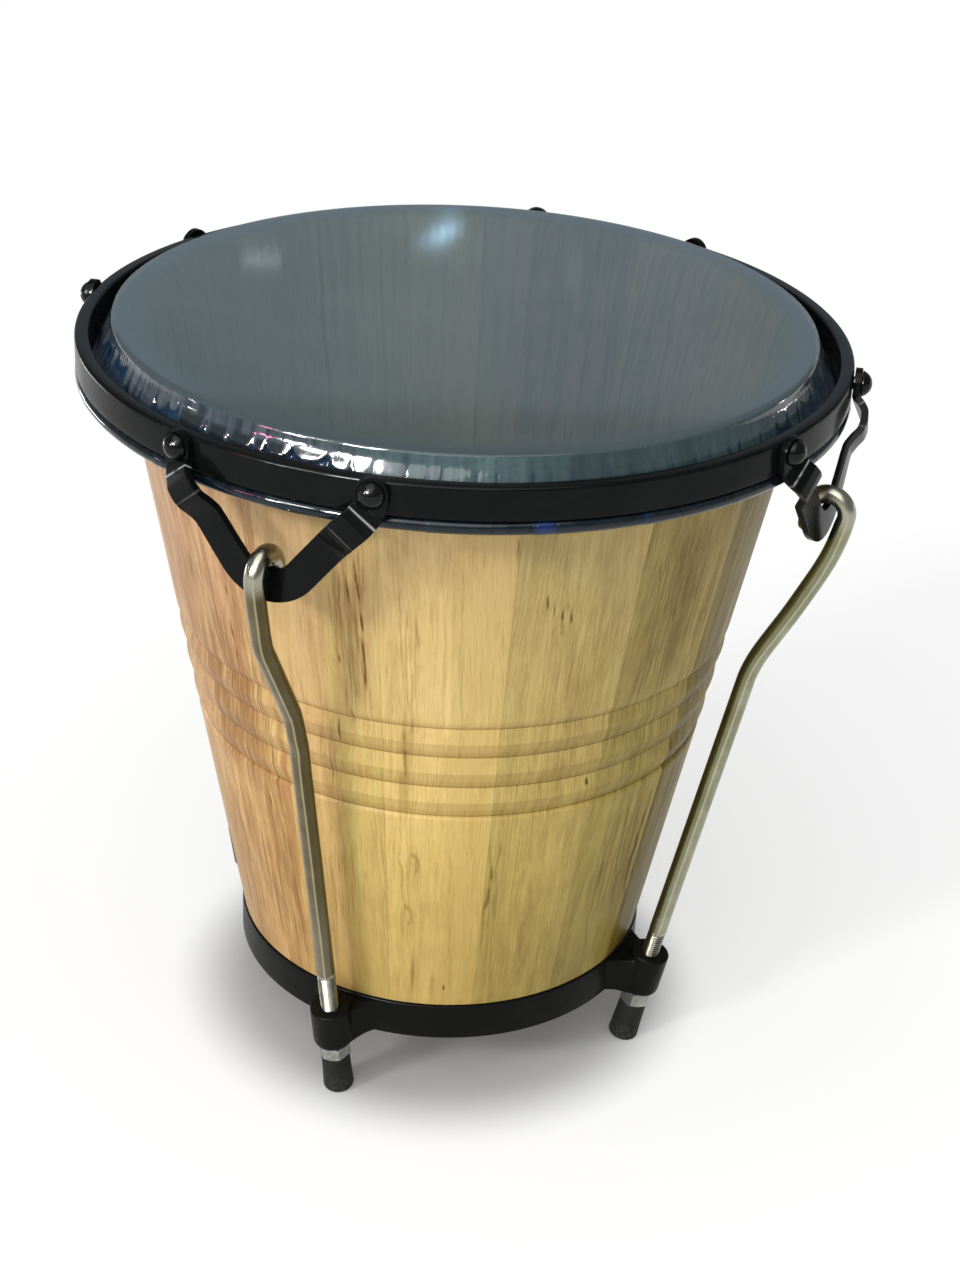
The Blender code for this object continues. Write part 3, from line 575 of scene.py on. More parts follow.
def wood(name, board, varnished):
    """Straight-grained pale wood. The mesh carries 'grain' (across the board,
    into the board and up the board, in mm) and the painted shade on the beads' lower flanks and in their grooves."""
    t = dict(TONES[board])
    if not varnished:
        t.update(RAW.get(board, {}))
    s = Shader(name)
    straight, depth, along = s.split(s.attribute("grain").outputs["Vector"])
    across = straight
    shift = board * 37.3
    painted, lighter, darker = s.split(s.attribute("paint").outputs["Vector"])
    slow = s.noise(s.join(s.math("MULTIPLY", across, 0.022), s.math("MULTIPLY", depth, 0.03),
                          s.math("ADD", s.math("MULTIPLY", along, 0.009), shift)), 1.0, 3.0, 0.5)
    u = s.math("ADD", across, s.math("MULTIPLY", s.math("SUBTRACT", slow, 0.5), 12.0))

    def layer(fu, fd, fv, detail, off, rough=0.55):
        return s.noise(s.join(s.math("MULTIPLY", u, fu), s.math("MULTIPLY", depth, fd),
                              s.math("ADD", s.math("MULTIPLY", along, fv), shift + off)),
                       1.0, detail, rough)

    broad = layer(0.060, 0.02, 0.0075, 2.0, 1.7)
    middle = layer(0.22, 0.06, 0.017, 3.0, 5.1)
    fine = layer(1.05, 0.15, 0.034, 3.0, 9.4, 0.65)
    pores = layer(1.90, 0.25, 0.085, 3.0, 14.9, 0.70)
    hair = layer(1.45, 0.20, 0.012, 2.0, 77.0, 0.60)
    mottle = layer(0.13, 0.04, 0.085, 3.0, 22.0, 0.6)

    tone = s.math("ADD", s.math("MULTIPLY", broad, 0.36), s.math("MULTIPLY", middle, 0.36))
    tone = s.math("ADD", tone, s.math("MULTIPLY", fine, 0.44))
    tone = s.math("ADD", tone, s.math("MULTIPLY", mottle, 0.24))
    tone = s.band(tone, 0.59, 0.84, smooth=False)
    light = t["light"]
    light_tone = t["second"] if "second" in t else t["light"]
    if "second" in t:
        edge = s.math("ADD", straight, s.math("MULTIPLY", s.math("SUBTRACT", middle, 0.5), 5.0))
        over = s.band(edge, t["split"] - 1.2, t["split"] + 1.2)
        if t["side"] < 0:
            over = s.math("SUBTRACT", 1.0, over)
        light = s.mix(over, t["light"], t["second"])
    dark = t["dark"]
    base = s.mix(tone, light, dark)
    # red-brown clouds along the grain
    if t.get("zone"):
        cloud = layer(0.085, 0.08, 0.013, 2.0, 61.0, 0.5)
        brown = tuple(c * f for c, f in zip(dark, (0.92, 0.78, 0.72)))
        base = s.mix(s.math("MULTIPLY", s.band(cloud, 0.48, 0.66), 0.75 * t["zone"]), base, brown)
    # short dark pore lines, crowded where the board is streaky
    crowd = s.band(middle, 0.36, 0.62, 0.45, 1.0)
    pore_line = s.math("MULTIPLY", s.band(pores, 0.545, 0.625), crowd)
    pore_line = s.math("MULTIPLY", pore_line, s.band(along, -200.0, -270.0, 1.0, 0.55))
    base = s.mix(s.math("MULTIPLY", s.band(fine, 0.46, 0.34), 0.45), base, tuple(min(1.0, c * 1.10) for c in light_tone))
    base = s.mix(s.math("MULTIPLY", s.band(hair, 0.54, 0.66), 0.24), base, tuple(c * 0.78 for c in dark))
    base = s.mix(s.math("MULTIPLY", pore_line, 0.52), base, tuple(c * f for c, f in zip(dark, (0.62, 0.55, 0.50))))
    # free streaks of the board's own
    free = layer(0.72, 0.08, 0.017, 3.0, 31.0, 0.60)
    gate = layer(0.05, 0.05, 0.014, 1.0, 47.0)
    loose = s.math("MULTIPLY", s.band(free, 0.59, 0.73), s.band(gate, 0.42, 0.60))
    total = s.math("MULTIPLY", loose, 0.55 * t.get("streak", 0.6))
    total = s.math("MAXIMUM", total, painted)
    total = s.math("MAXIMUM", total, s.math("MULTIPLY", darker, s.band(fine, 0.48, 0.66, 0.0, 1.1)))
    # soft patches: lighter ones and darker ones, the darker among them painted shadows of the strap, the rim and the
    # rod
    base = s.mix(s.math("MULTIPLY", darker, 0.55), base, tuple(c * f for c, f in zip(dark, (0.66, 0.66, 0.62))))
    base = s.mix(s.math("MULTIPLY", lighter, 0.80), base, tuple(min(1.0, c * 1.10) for c in light_tone))
    base = s.mix(s.math("MULTIPLY", total, 1.25, clamp=True), base, tuple(c * f for c, f in zip(dark, (0.56, 0.49, 0.32))))
    base = s.mix(s.band(total, 0.50, 1.0, 0.0, 0.85), base, tuple(c * f for c, f in zip(dark, (0.22, 0.21, 0.15))))
    if varnished:
        # the wood is a little yellower toward the foot; painted shade: darker toward the foot, on the lower flank of
        # each bead and as a line in each groove
        foot = s.band(along, -60.0, -200.0, 0.0, 1.0, smooth=False)
        base = s.mix(foot, base, s.mix(1.0, base, (0.985, 0.985, 0.74), "MULTIPLY"))
        low = s.band(along, -178.0, -285.0)
        base = s.mix(low, base, s.mix(1.0, base, (0.78, 0.76, 0.70), "MULTIPLY"))
        flank, groove, unused = s.split(s.attribute("bead_shade").outputs["Vector"])
        base = s.mix(flank, base, s.mix(1.0, base, (0.80, 0.755, 0.66), "MULTIPLY"))
        base = s.mix(s.math("MULTIPLY", groove, 0.60), base, s.mix(1.0, base, (0.56, 0.50, 0.38), "MULTIPLY"))
    else:
        base = s.mix(0.18, base, (0.42, 0.33, 0.20))
    height = s.math("SUBTRACT", s.math("MULTIPLY", fine, 0.45), s.math("MULTIPLY", pore_line, 0.7))
    height = s.math("SUBTRACT", height, s.math("MULTIPLY", total, 0.4))
    normal = s.bump(height, 0.25 if varnished else 0.5, 0.00025)
    rough = s.band(middle, 0.3, 0.7, 0.36 if varnished else 0.62, 0.48 if varnished else 0.8, smooth=False)
    s.set(base=base, rough=rough, normal=normal, specular=0.10)
    if varnished:
        s.set(coat=0.03, coat_rough=0.20)
    return s.material


def make_staves():
    pts, mats = stave_section()
    r = np.array([p[0] for p in pts])
    z = np.array([p[1] for p in pts])
    n, steps = len(pts), 113
    half = 0.04
    inside = (z < GROOVES[0] + 6) & (z > GROOVES[-1] - 4) & (np.array(mats) == 0)
    tone = np.array([bead_tone(k) for k in z])
    bead_shade = np.stack([np.where(inside, tone[:, 0], 0.0), np.where(inside, tone[:, 1], 0.0), 0 * z], -1)
    for i in range(STAVES):
        a0 = math.radians(JOINT_AZ + i * PITCH)
        th = np.linspace(0.0, math.radians(PITCH), steps)
        mid = th[-1] / 2
        x = r[None, :] * np.cos(th[:, None] + a0)
        y = r[None, :] * np.sin(th[:, None] + a0)
        co = np.stack([x, y, np.broadcast_to(up(z)[None, :], x.shape)], -1)
        # a hair of space at each glued joint
        co[0] += half * np.array([-math.sin(a0), math.cos(a0), 0.0])
        a1 = a0 + th[-1]
        co[-1] += half * np.array([math.sin(a1), -math.cos(a1), 0.0])
        faces = quads(steps, n, wrap_v=True)
        index = list(np.tile(mats, steps - 1))
        faces.append(list(range(n)))
        faces.append(list(range((steps - 1) * n, steps * n))[::-1])
        index += [1, 1]
        u = r[None, :] * (th[:, None] - mid)
        zz = np.broadcast_to(z[None, :], x.shape)
        inner = np.broadcast_to(((cone_r(z) - r) > 5.0)[None, :], x.shape)
        dark, patch = paint_board(i, u, zz, inner)
        dark = np.where(inner | (u * 0 == 0), dark, 0.0)
        name = "shell_stave_%02d" % (i + 1)
        o = mesh_object(name, co * MM, faces,
                        [wood("wood_varnished_%02d" % (i + 1), i, True),
                         wood("wood_raw_%02d" % (i + 1), i, False)], sharp=28.0, index=index)
        paint = np.stack([dark, np.clip(-patch, 0, 1), np.clip(patch, 0, 1)], -1)
        paint[..., 1:] *= ~inner[..., None]
        vector_attribute(o.data, "paint", paint)
        grain = np.stack([u,
                          np.broadcast_to((cone_r(z) - r)[None, :], x.shape),
                          np.broadcast_to(z[None, :], x.shape)], -1)
        vector_attribute(o.data, "grain", grain)
        seen = np.degrees(th + a0) - VIEW_TURN
        seen = (seen + 180.0) % 360.0 - 180.0
        # the painted bead shade is weaker toward the left
        fade = 1.0 - 0.45 * smooth01((-116.0 - seen) / 16.0)
        vector_attribute(o.data, "bead_shade", bead_shade[None] * fade[:, None, None])
        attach(o, "shell")
        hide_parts("stave_%02d" % (i + 1))


make_staves()


# ============================================================ black steelwork
def black_paint(name, base=(0.0030, 0.0034, 0.0034), rough=(0.20, 0.32), specular=0.030, peel=1.0, coat=0.14, crease_glint=False):
    """Black enamel on steel: faint orange peel, dust and a soft sheen."""
    s = Shader(name)
    p = s.place()
    peel_noise = s.noise(p, 620.0, 2.0, 0.5)
    cloud = s.noise(p, 38.0, 4.0, 0.6)
    dust = s.noise(p, 1500.0, 3.0, 0.7)
    colour = s.mix(s.band(cloud, 0.42, 0.72), base, tuple(c * 1.6 + 0.001 for c in base))
    colour = s.mix(s.math("MULTIPLY", s.band(dust, 0.66, 0.78), 0.12), colour, (0.045, 0.044, 0.040))
    if crease_glint:                                # painted highlight: a pale line along the crease of a bend
        crease_highlight = s.math("MULTIPLY", s.attribute("crease_highlight").outputs["Fac"], s.band(s.noise(p, 170.0, 3.0, 0.6), 0.36, 0.50, 0.25, 1.0))
        colour = s.mix(crease_highlight, colour, (0.42, 0.43, 0.44))
    s.set(base=colour, rough=s.band(cloud, 0.3, 0.7, rough[0], rough[1], smooth=False),
          specular=specular, normal=s.bump(peel_noise, 0.10 * peel, 0.0002))
    s.set(coat=coat, coat_rough=0.10)
    return s.material


BLACK = black_paint("black_enamel")
BLACK_STRAP = black_paint("black_enamel_strap", crease_glint=True)
BLACK_CAST = black_paint("black_enamel_weld", base=(0.0036, 0.0040, 0.0032), rough=(0.30, 0.45), specular=0.05, peel=2.6, coat=0.03)
BLACK_RIVET = black_paint("black_enamel_rivet", base=(0.0028, 0.0032, 0.0034), rough=(0.14, 0.22), specular=0.06, peel=0.5, coat=0.30)

RING_OUT, RING_IN, RING_TOP, RING_BOTTOM = 95.4, 92.2, -293.7, -311.3


def make_ring():
    prof = arc(RING_OUT - 0.7, up(RING_TOP) - 0.7, 0.7, 90, 0, 5)
    prof += [(RING_OUT, up(-299.0)), (RING_OUT, up(-305.0))]
    prof += arc(RING_OUT - 0.7, up(RING_BOTTOM) + 0.7, 0.7, 0, -90, 5)
    prof += arc(RING_IN + 0.4, up(RING_BOTTOM) + 0.4, 0.4, -90, -180, 3)
    prof += arc(RING_IN + 0.4, up(RING_TOP) - 0.4, 0.4, 180, 90, 3)
    o = turned("bottom_ring_band", prof, 288, [BLACK_CAST])
    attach(o, "shell")
    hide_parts("bottom_ring")


make_ring()

# rod axis, as on the frame
AXIS_R, AXIS_Z, AXIS_SLOPE = 106.5, -309.0, 0.2015
TILT = math.atan(AXIS_SLOPE)
LUG_TOP, LUG_BOTTOM = -17.0, 5.0
LUG_R, LUG_BORE = 8.9, 4.5


def rod_frame(azimuth):
    a = math.radians(azimuth)
    er = Vector((math.cos(a), math.sin(a), 0.0))
    ez = Vector((0.0, 0.0, 1.0))
    zed = (math.sin(TILT) * er + math.cos(TILT) * ez).normalized()
    out = (math.cos(TILT) * er - math.sin(TILT) * ez).normalized()
    side = zed.cross(out)
    m = Matrix((out, side, zed)).transposed().to_4x4()
    m.translation = er * AXIS_R * MM + ez * up(AXIS_Z) * MM
    return m


def solid(name, bm):
    me = bpy.data.meshes.new(name)
    bm.to_mesh(me)
    bm.free()
    o = bpy.data.objects.new(name, me)
    SCENE.collection.objects.link(o)
    return o


def cylinder(name, radius, top, bottom, segments, matrix):
    bm = bmesh.new()
    bmesh.ops.create_cone(bm, cap_ends=True, segments=segments, radius1=radius * MM,
                          radius2=radius * MM, depth=(bottom - top) * MM)
    bmesh.ops.translate(bm, verts=bm.verts, vec=(0, 0, -(top + bottom) / 2 * MM))
    o = solid(name, bm)
    o.matrix_world = matrix
    return o


def boolean(o, other, operation="DIFFERENCE"):
    b = o.modifiers.new(operation.lower(), "BOOLEAN")
    b.operation = operation
    b.object = other
    b.solver = "EXACT"


def drop(*objects):
    for o in objects:
        me = o.data
        bpy.data.objects.remove(o, do_unlink=True)
        bpy.data.meshes.remove(me)


def make_lugs():
    """Barrel and web run into each other with a weld's soft fillet, then the
    bore and the ring's seat are cut clean."""
    m = rod_frame(0.0)
    # the lower edge is ground well round, the upper one only broken
    r = LUG_R + 0.1
    prof = [(0.0, -LUG_TOP)] + arc(r - 0.5, -LUG_TOP - 0.5, 0.5, 90, 0, 4)
    prof += arc(r - 2.4, -LUG_BOTTOM + 2.4, 2.4, 0, -90, 8) + [(0.0, -LUG_BOTTOM)]
    lug = turned("lug_form", prof, 64, [BLACK_CAST], matrix=m)
    bm = bmesh.new()
    bmesh.ops.create_cube(bm, size=1.0)
    bmesh.ops.subdivide_edges(bm, edges=bm.edges, cuts=11, use_grid_fill=True)
    for v in bm.verts:
        f = v.co.x + 0.5                     # 0 at the ring, 1 at the barrel
        half = 8.4 + 10.2 * (1.0 - f) ** 1.7
        side = abs(2 * v.co.y) * half
        top = -294.6 - 0.6 * f
        low = -311.0 - 2.6 * max(0.0, (17.5 - side) / 9.0) ** 2 * min(1.0, f * 1.6)
        low = max(low, -313.4)
        v.co = Vector(((91.0 + 16.0 * f) * MM, 2 * v.co.y * half * MM,
                       up(low + (v.co.z + 0.5) * (top - low)) * MM))
    web = solid("web_form", bm)
    boolean(lug, web, "UNION")
    applied(lug)
    r = lug.modifiers.new("remesh", "REMESH")
    r.mode = "VOXEL"
    r.voxel_size = 0.00042
    sm = lug.modifiers.new("soften", "SMOOTH")
    sm.factor = 0.5
    sm.iterations = 14
    applied(lug)
    bore = cylinder("bore_form", LUG_BORE, LUG_TOP - 10, LUG_BOTTOM + 10, 48, m)
    bm = bmesh.new()
    bmesh.ops.create_cone(bm, cap_ends=True, segments=288, radius1=(RING_OUT + 0.05) * MM,
                          radius2=(RING_OUT + 0.05) * MM, depth=0.06)
    seat = solid("seat_form", bm)
    seat.location.z = up(-302.0) * MM
    bpy.context.view_layer.update()
    boolean(lug, bore)
    boolean(lug, seat)
    applied(lug)
    drop(web, bore, seat)
    base = lug.data
    base.materials.clear()
    base.materials.append(BLACK_CAST)
    base.shade_smooth()
    base.set_sharp_from_angle(angle=math.radians(50))
    for name, az in LUGS:
        me = base.copy()
        me.transform(Matrix.Rotation(math.radians(az), 4, "Z"))
        o = bpy.data.objects.new("lug_barrel_" + name, me)
        SCENE.collection.objects.link(o)
        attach(o, "shell")
        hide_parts("lug_" + name)
    bpy.data.objects.remove(lug, do_unlink=True)


make_lugs()

RIM_OUT, RIM_IN, RIM_TOP, RIM_BOTTOM = 165.0, 159.0, -6.4, -20.1


def make_rim():
    prof = arc(RIM_OUT - 1.5, up(RIM_TOP) - 1.5, 1.5, 90, 0, 8)
    prof += [(RIM_OUT, up(z)) for z in (-10.5, -13.5, -16.5)]
    prof += arc(RIM_OUT - 0.6, up(RIM_BOTTOM) + 0.6, 0.6, 0, -90, 4)
    prof += arc(RIM_IN + 0.6, up(RIM_BOTTOM) + 0.6, 0.6, -90, -180, 4)
    prof += [(RIM_IN, up(z)) for z in (-16.5, -12.0)]
    prof += arc(RIM_IN + 1.0, up(RIM_TOP) - 1.0, 1.0, 180, 90, 6)
    o = turned("rim_band", prof, 432, [BLACK])
    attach(o, "rim_assembly")
    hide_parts("rim")


make_rim()

# ------------------------------------------------------------------- straps
STRAP_W, STRAP_T, LAND_R = 13.0, 3.0, 166.95
RIVET_AZ, RIVET_Z, ARM_SLOPE = 14.4, -11.0, 51.5
LOBE_R, LOBE_Z = 18.3, -57.2
STRAP_PROFILE = ((0.0, LAND_R), (-17.2, LAND_R), (-20.3, 169.7), (-23.0, 171.7),
                 (-26.0, 172.2), (-28.8, 171.5), (-31.3, 169.2), (-34.4, 167.1),
                 (-38.0, 166.7), (-70.0, 165.2))


def strap_rows():
    """Rows across the plate, unrolled: (s, z, half width, across x, across z)."""
    s_rivet = math.radians(RIVET_AZ) * LAND_R
    slope = math.radians(ARM_SLOPE)
    s_tan = LOBE_R * math.sin(slope)
    z_tan = LOBE_Z + LOBE_R * (1.0 - math.cos(slope))
    half = []
    for deg in (88.0, 84.0, 78.0, 70.0, 61.0, 51.0, 40.0, 28.0, 14.0):
        a = math.radians(deg)
        half.append((s_rivet, RIVET_Z + STRAP_W / 2 * math.sin(a), STRAP_W / 2 * math.cos(a), 90.0))
    half.append((s_rivet, RIVET_Z, STRAP_W / 2, 90.0))
    p0 = Vector((s_rivet, -13.5))
    p3 = Vector((s_tan + (-28.5 - z_tan) / math.tan(slope), -28.5))
    p1 = p0 + Vector((0.0, -6.0))
    p2 = p3 + Vector((math.cos(slope), math.sin(slope))) * 6.0
    for t in (k / 99 for k in range(100)):
        p = ((1 - t) ** 3 * p0 + 3 * t * (1 - t) ** 2 * p1
             + 3 * t * t * (1 - t) * p2 + t ** 3 * p3)
        d = (3 * (1 - t) ** 2 * (p1 - p0) + 6 * t * (1 - t) * (p2 - p1) + 3 * t * t * (p3 - p2))
        half.append((p.x, p.y, STRAP_W / 2, math.degrees(math.atan2(-d.y, -d.x))))
    for z in np.linspace(-29.2, z_tan + 0.5, 26):
        half.append((s_tan + (z - z_tan) / math.tan(slope), z, STRAP_W / 2, ARM_SLOPE))
    for deg in np.linspace(ARM_SLOPE, 4.0, 13):
        a = math.radians(deg)
        half.append((LOBE_R * math.sin(a), LOBE_Z + LOBE_R * (1 - math.cos(a)), STRAP_W / 2, deg))
    rows = []
    for s, z, w, lean in half:
        a = math.radians(lean)
        rows.append((s, z, w, math.sin(a), -math.cos(a)))
    rows.append((0.0, LOBE_Z, STRAP_W / 2, 0.0, -1.0))
    for s, z, w, lean in reversed(half):
        a = math.radians(lean)
        rows.append((-s, z, w, -math.sin(a), -math.cos(a)))
    return rows


def make_straps():
    rows = strap_rows()
    zs = [p[0] for p in STRAP_PROFILE][::-1]
    rs = [p[1] for p in STRAP_PROFILE][::-1]
    cols = np.array([-1.0, -0.88, -0.6, -0.2, 0.2, 0.6, 0.88, 1.0])
    path = np.array([[r[0], r[1]] for r in rows])
    raw = np.interp(path[:, 1], zs, rs)
    run = np.concatenate([[0], np.cumsum(np.linalg.norm(np.diff(path, axis=0), axis=1))])
    fine = np.linspace(0, run[-1], 1600)
    rf = np.interp(np.interp(fine, run, path[:, 1]), zs, rs)
    step = fine[1] - fine[0]
    k = np.exp(-0.5 * (np.arange(-40, 41) * step / 0.42) ** 2)
    rf = np.convolve(np.pad(rf, 40, mode="edge"), k / k.sum(), mode="valid")
    plate = np.interp(run, fine, rf)
    for name, az in LUGS:
        base = math.radians(az)
        co = []
        for (s, z, w, ax, az_), r in zip(rows, plate):
            for c in cols:
                ps, pz = s + c * w * ax, z + c * w * az_
                a = base + ps / LAND_R
                co.append((r * math.cos(a), r * math.sin(a), up(pz)))
        o = mesh_object("strap_plate_" + name, np.array(co) * MM,
                        quads(len(rows), len(cols)), [BLACK_STRAP], sharp=0)
        # painted highlight along the crease at the top of the joggle, and a fainter one lower down
        crease_highlight = 0.9 * np.exp(-((path[:, 1] + 20.4) / 0.20) ** 2) + 0.16 * np.exp(-((path[:, 1] + 27.8) / 0.22) ** 2)
        w = o.data.attributes.new("crease_highlight", "FLOAT", "POINT")
        w.data.foreach_set("value", np.repeat(crease_highlight, len(cols)).astype(np.float32))
        m = o.modifiers.new("plate", "SOLIDIFY")
        m.thickness = STRAP_T * MM
        m.offset = 0.0
        m.use_even_offset = True
        b = o.modifiers.new("edge", "BEVEL")
        b.width = 0.55 * MM
        b.segments = 3
        b.limit_method = "ANGLE"
        b.angle_limit = math.radians(50)
        applied(o)
        o.data.shade_smooth()
        o.data.set_sharp_from_angle(angle=math.radians(40))
        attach(o, "rim_assembly")
        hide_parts("strap_" + name)


make_straps()


def radial_matrix(azimuth, r, z):
    """Local +Z points outwards, local +Y up."""
    a = math.radians(azimuth)
    er = Vector((math.cos(a), math.sin(a), 0.0))
    ez = Vector((0.0, 0.0, 1.0))
    m = Matrix((ez.cross(er), ez, er)).transposed().to_4x4()
    m.translation = er * r * MM + ez * up(z) * MM
    return m


def make_rivets():
    face = LAND_R + STRAP_T / 2 + 0.05
    dome_r, dome_h = 5.5, 4.4
    sphere = (dome_r ** 2 + dome_h ** 2) / (2 * dome_h)
    prof = []
    for x in np.linspace(0.0, dome_r - 0.15, 13):
        prof.append((x, face + dome_h - sphere + math.sqrt(sphere ** 2 - x ** 2)))
    prof += [(dome_r, face + 0.75), (dome_r, face + 0.3), (dome_r - 0.3, face),
             (2.7, face), (2.7, RIM_IN + 0.9), (2.3, RIM_IN + 0.45), (0.0, RIM_IN + 0.45)]
    for name, az in LUGS:
        for tag, side in (("a", -1), ("b", 1)):
            o = turned("rivet_dome_%s_%s" % (name, tag), prof, 40, [BLACK_RIVET], sharp=50,
                       matrix=radial_matrix(az + side * RIVET_AZ, 0.0, RIVET_Z))
            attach(o, "rim_assembly")
            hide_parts("rivet_%s_%s" % (name, tag))


make_rivets()

# ================================================================ head film
FILM_T = 0.35
HOOP_R, HOOP_Z, WRAP_TUBE = 162.5, -23.4, 2.825
SEAMS = [-133.2, -110.6, -91.0, -68.8, -54.6, -51.9, -39.4, -24.8, -6.0, 14.0, 31.0, 50.0,
         71.0, 88.0, 107.0, 129.0, 148.0, 170.0, 189.0, 207.0]


def playing_film():
    """Thin translucent blue-grey polyester under tension."""
    s = Shader("film_playing_area")
    p = s.place()
    cloud = s.noise(p, 11.0, 3.0, 0.55)
    x, y, z = s.split(p)
    # the sheet's own threads, at 31 degrees to the drum's x axis
    along = s.math("ADD", s.math("MULTIPLY", x, 0.857), s.math("MULTIPLY", y, 0.515))
    cross = s.math("SUBTRACT", s.math("MULTIPLY", y, 0.857), s.math("MULTIPLY", x, 0.515))
    warp = s.noise(s.join(s.math("MULTIPLY", along, 1500.0), s.math("MULTIPLY", cross, 210.0), 0.0), 1.0, 2.0, 0.6)
    weft = s.noise(s.join(s.math("MULTIPLY", along, 260.0), s.math("MULTIPLY", cross, 1100.0), 7.0), 1.0, 2.0, 0.6)
    weave = s.math("ADD", s.math("MULTIPLY", warp, 0.55), s.math("MULTIPLY", weft, 0.45))
    colour = s.mix(s.band(cloud, 0.36, 0.66), FILM_BASE, FILM_BASE2)
    colour = s.mix(s.math("MULTIPLY", s.band(weave, 0.46, 0.62), 0.42), colour, tuple(c * 0.66 for c in FILM_BASE))
    r = s.math("SQRT", s.math("ADD", s.math("MULTIPLY", x, x), s.math("MULTIPLY", y, y)))
    edge = s.band(r, 0.1310, 0.1466)
    colour = s.mix(edge, colour, (0.064, 0.094, 0.108))
    alpha = s.math("ADD", FILM_ALPHA, s.math("MULTIPLY", edge, 0.26))
    s.set(base=colour, alpha=alpha, specular=0.42,
          rough=0.055,
          normal=s.bump(cloud, 0.04, 0.0004))
    return s.material


def skirt_film():
    """The same film crimped down over the edge: light where it lies out, navy
    where it is doubled and tucked. 'skin' holds light share, streak, teal."""
    s = Shader("film_crimped_skirt")
    p = s.place()
    light, streak, teal = s.split(s.attribute("skin").outputs["Vector"])
    fine = s.noise(p, 420.0, 3.0, 0.6)
    navy = s.mix(streak, (0.006, 0.017, 0.040), (0.020, 0.055, 0.110))
    pale = s.mix(streak, (0.026, 0.037, 0.052), (0.100, 0.122, 0.145))
    green = s.mix(streak, (0.045, 0.092, 0.100), (0.120, 0.200, 0.205))
    upper = s.mix(teal, pale, green)
    # 'shade' is painted shade on the skirt: the tongues' bodies on the left front and the skirt's right side
    shade = s.attribute("shade").outputs["Fac"]
    upper = s.mix(shade, upper, (0.012, 0.020, 0.026))
    colour = s.mix(light, navy, upper)
    colour = s.mix(s.math("MULTIPLY", s.band(fine, 0.45, 0.7), 0.25), colour, (0.02, 0.035, 0.05))
    s.set(base=colour, alpha=0.90, specular=0.6,
          rough=s.band(fine, 0.3, 0.7, 0.06, 0.14, smooth=False),
          normal=s.bump(fine, 0.06, 0.0003))
    s.set(coat=0.5, coat_rough=0.04)
    return s.material


def wrap_film():
    s = Shader("film_wrapped_edge")
    p = s.place()
    light, streak, blue = s.split(s.attribute("skin").outputs["Vector"])
    fine = s.noise(p, 300.0, 3.0, 0.6)
    colour = s.mix(s.band(fine, 0.35, 0.65), (0.0034, 0.0066, 0.0106), (0.0085, 0.0145, 0.0200))
    colour = s.mix(streak, colour, (0.0090, 0.0160, 0.0225))
    colour = s.mix(blue, colour, (0.006, 0.024, 0.100))
    s.set(base=colour, specular=0.16, rough=s.band(fine, 0.3, 0.7, 0.07, 0.15, smooth=False),
          normal=s.bump(fine, 0.10, 0.0003))
    s.set(coat=0.30, coat_rough=0.05)
    return s.material


FILM_ALPHA = 0.46
FILM_BASE = (0.062, 0.112, 0.122)
FILM_BASE2 = (0.084, 0.135, 0.149)
FILM_TOP = playing_film()
FILM_SKIRT = skirt_film()
FILM_WRAP = wrap_film()

# How the skirt looks round the head, by azimuth as the viewer sees it:
# (azimuth, depth of the light part, its spread, teal share, pleat height mm)
SKIRT_LOOK = ((-180, 0.42, 0.30, 0.0, 1.1), (-155, 0.40, 0.26, 0.0, 1.2), (-140, 0.44, 0.22, 0.0, 1.3),
              (-132, 0.46, 0.16, 0.0, 1.7), (-122, 0.52, 0.18, 0.0, 2.1), (-108, 0.52, 0.18, 0.1, 2.2),
              (-103, 0.80, 0.20, 0.5, 1.0), (-96, 0.98, 0.14, 0.8, 0.6), (-70, 1.05, 0.12, 1.0, 0.6),
              (-55, 1.00, 0.15, 1.0, 0.8), (-44, 0.80, 0.25, 0.9, 1.3), (-34, 0.45, 0.30, 0.6, 1.5),
              (-20, 0.30, 0.26, 0.2, 1.4), (0, 0.34, 0.28, 0.1, 1.3), (60, 0.50, 0.30, 0.4, 1.1),
              (120, 0.60, 0.30, 0.6, 1.0), (180, 0.42, 0.30, 0.0, 1.1))


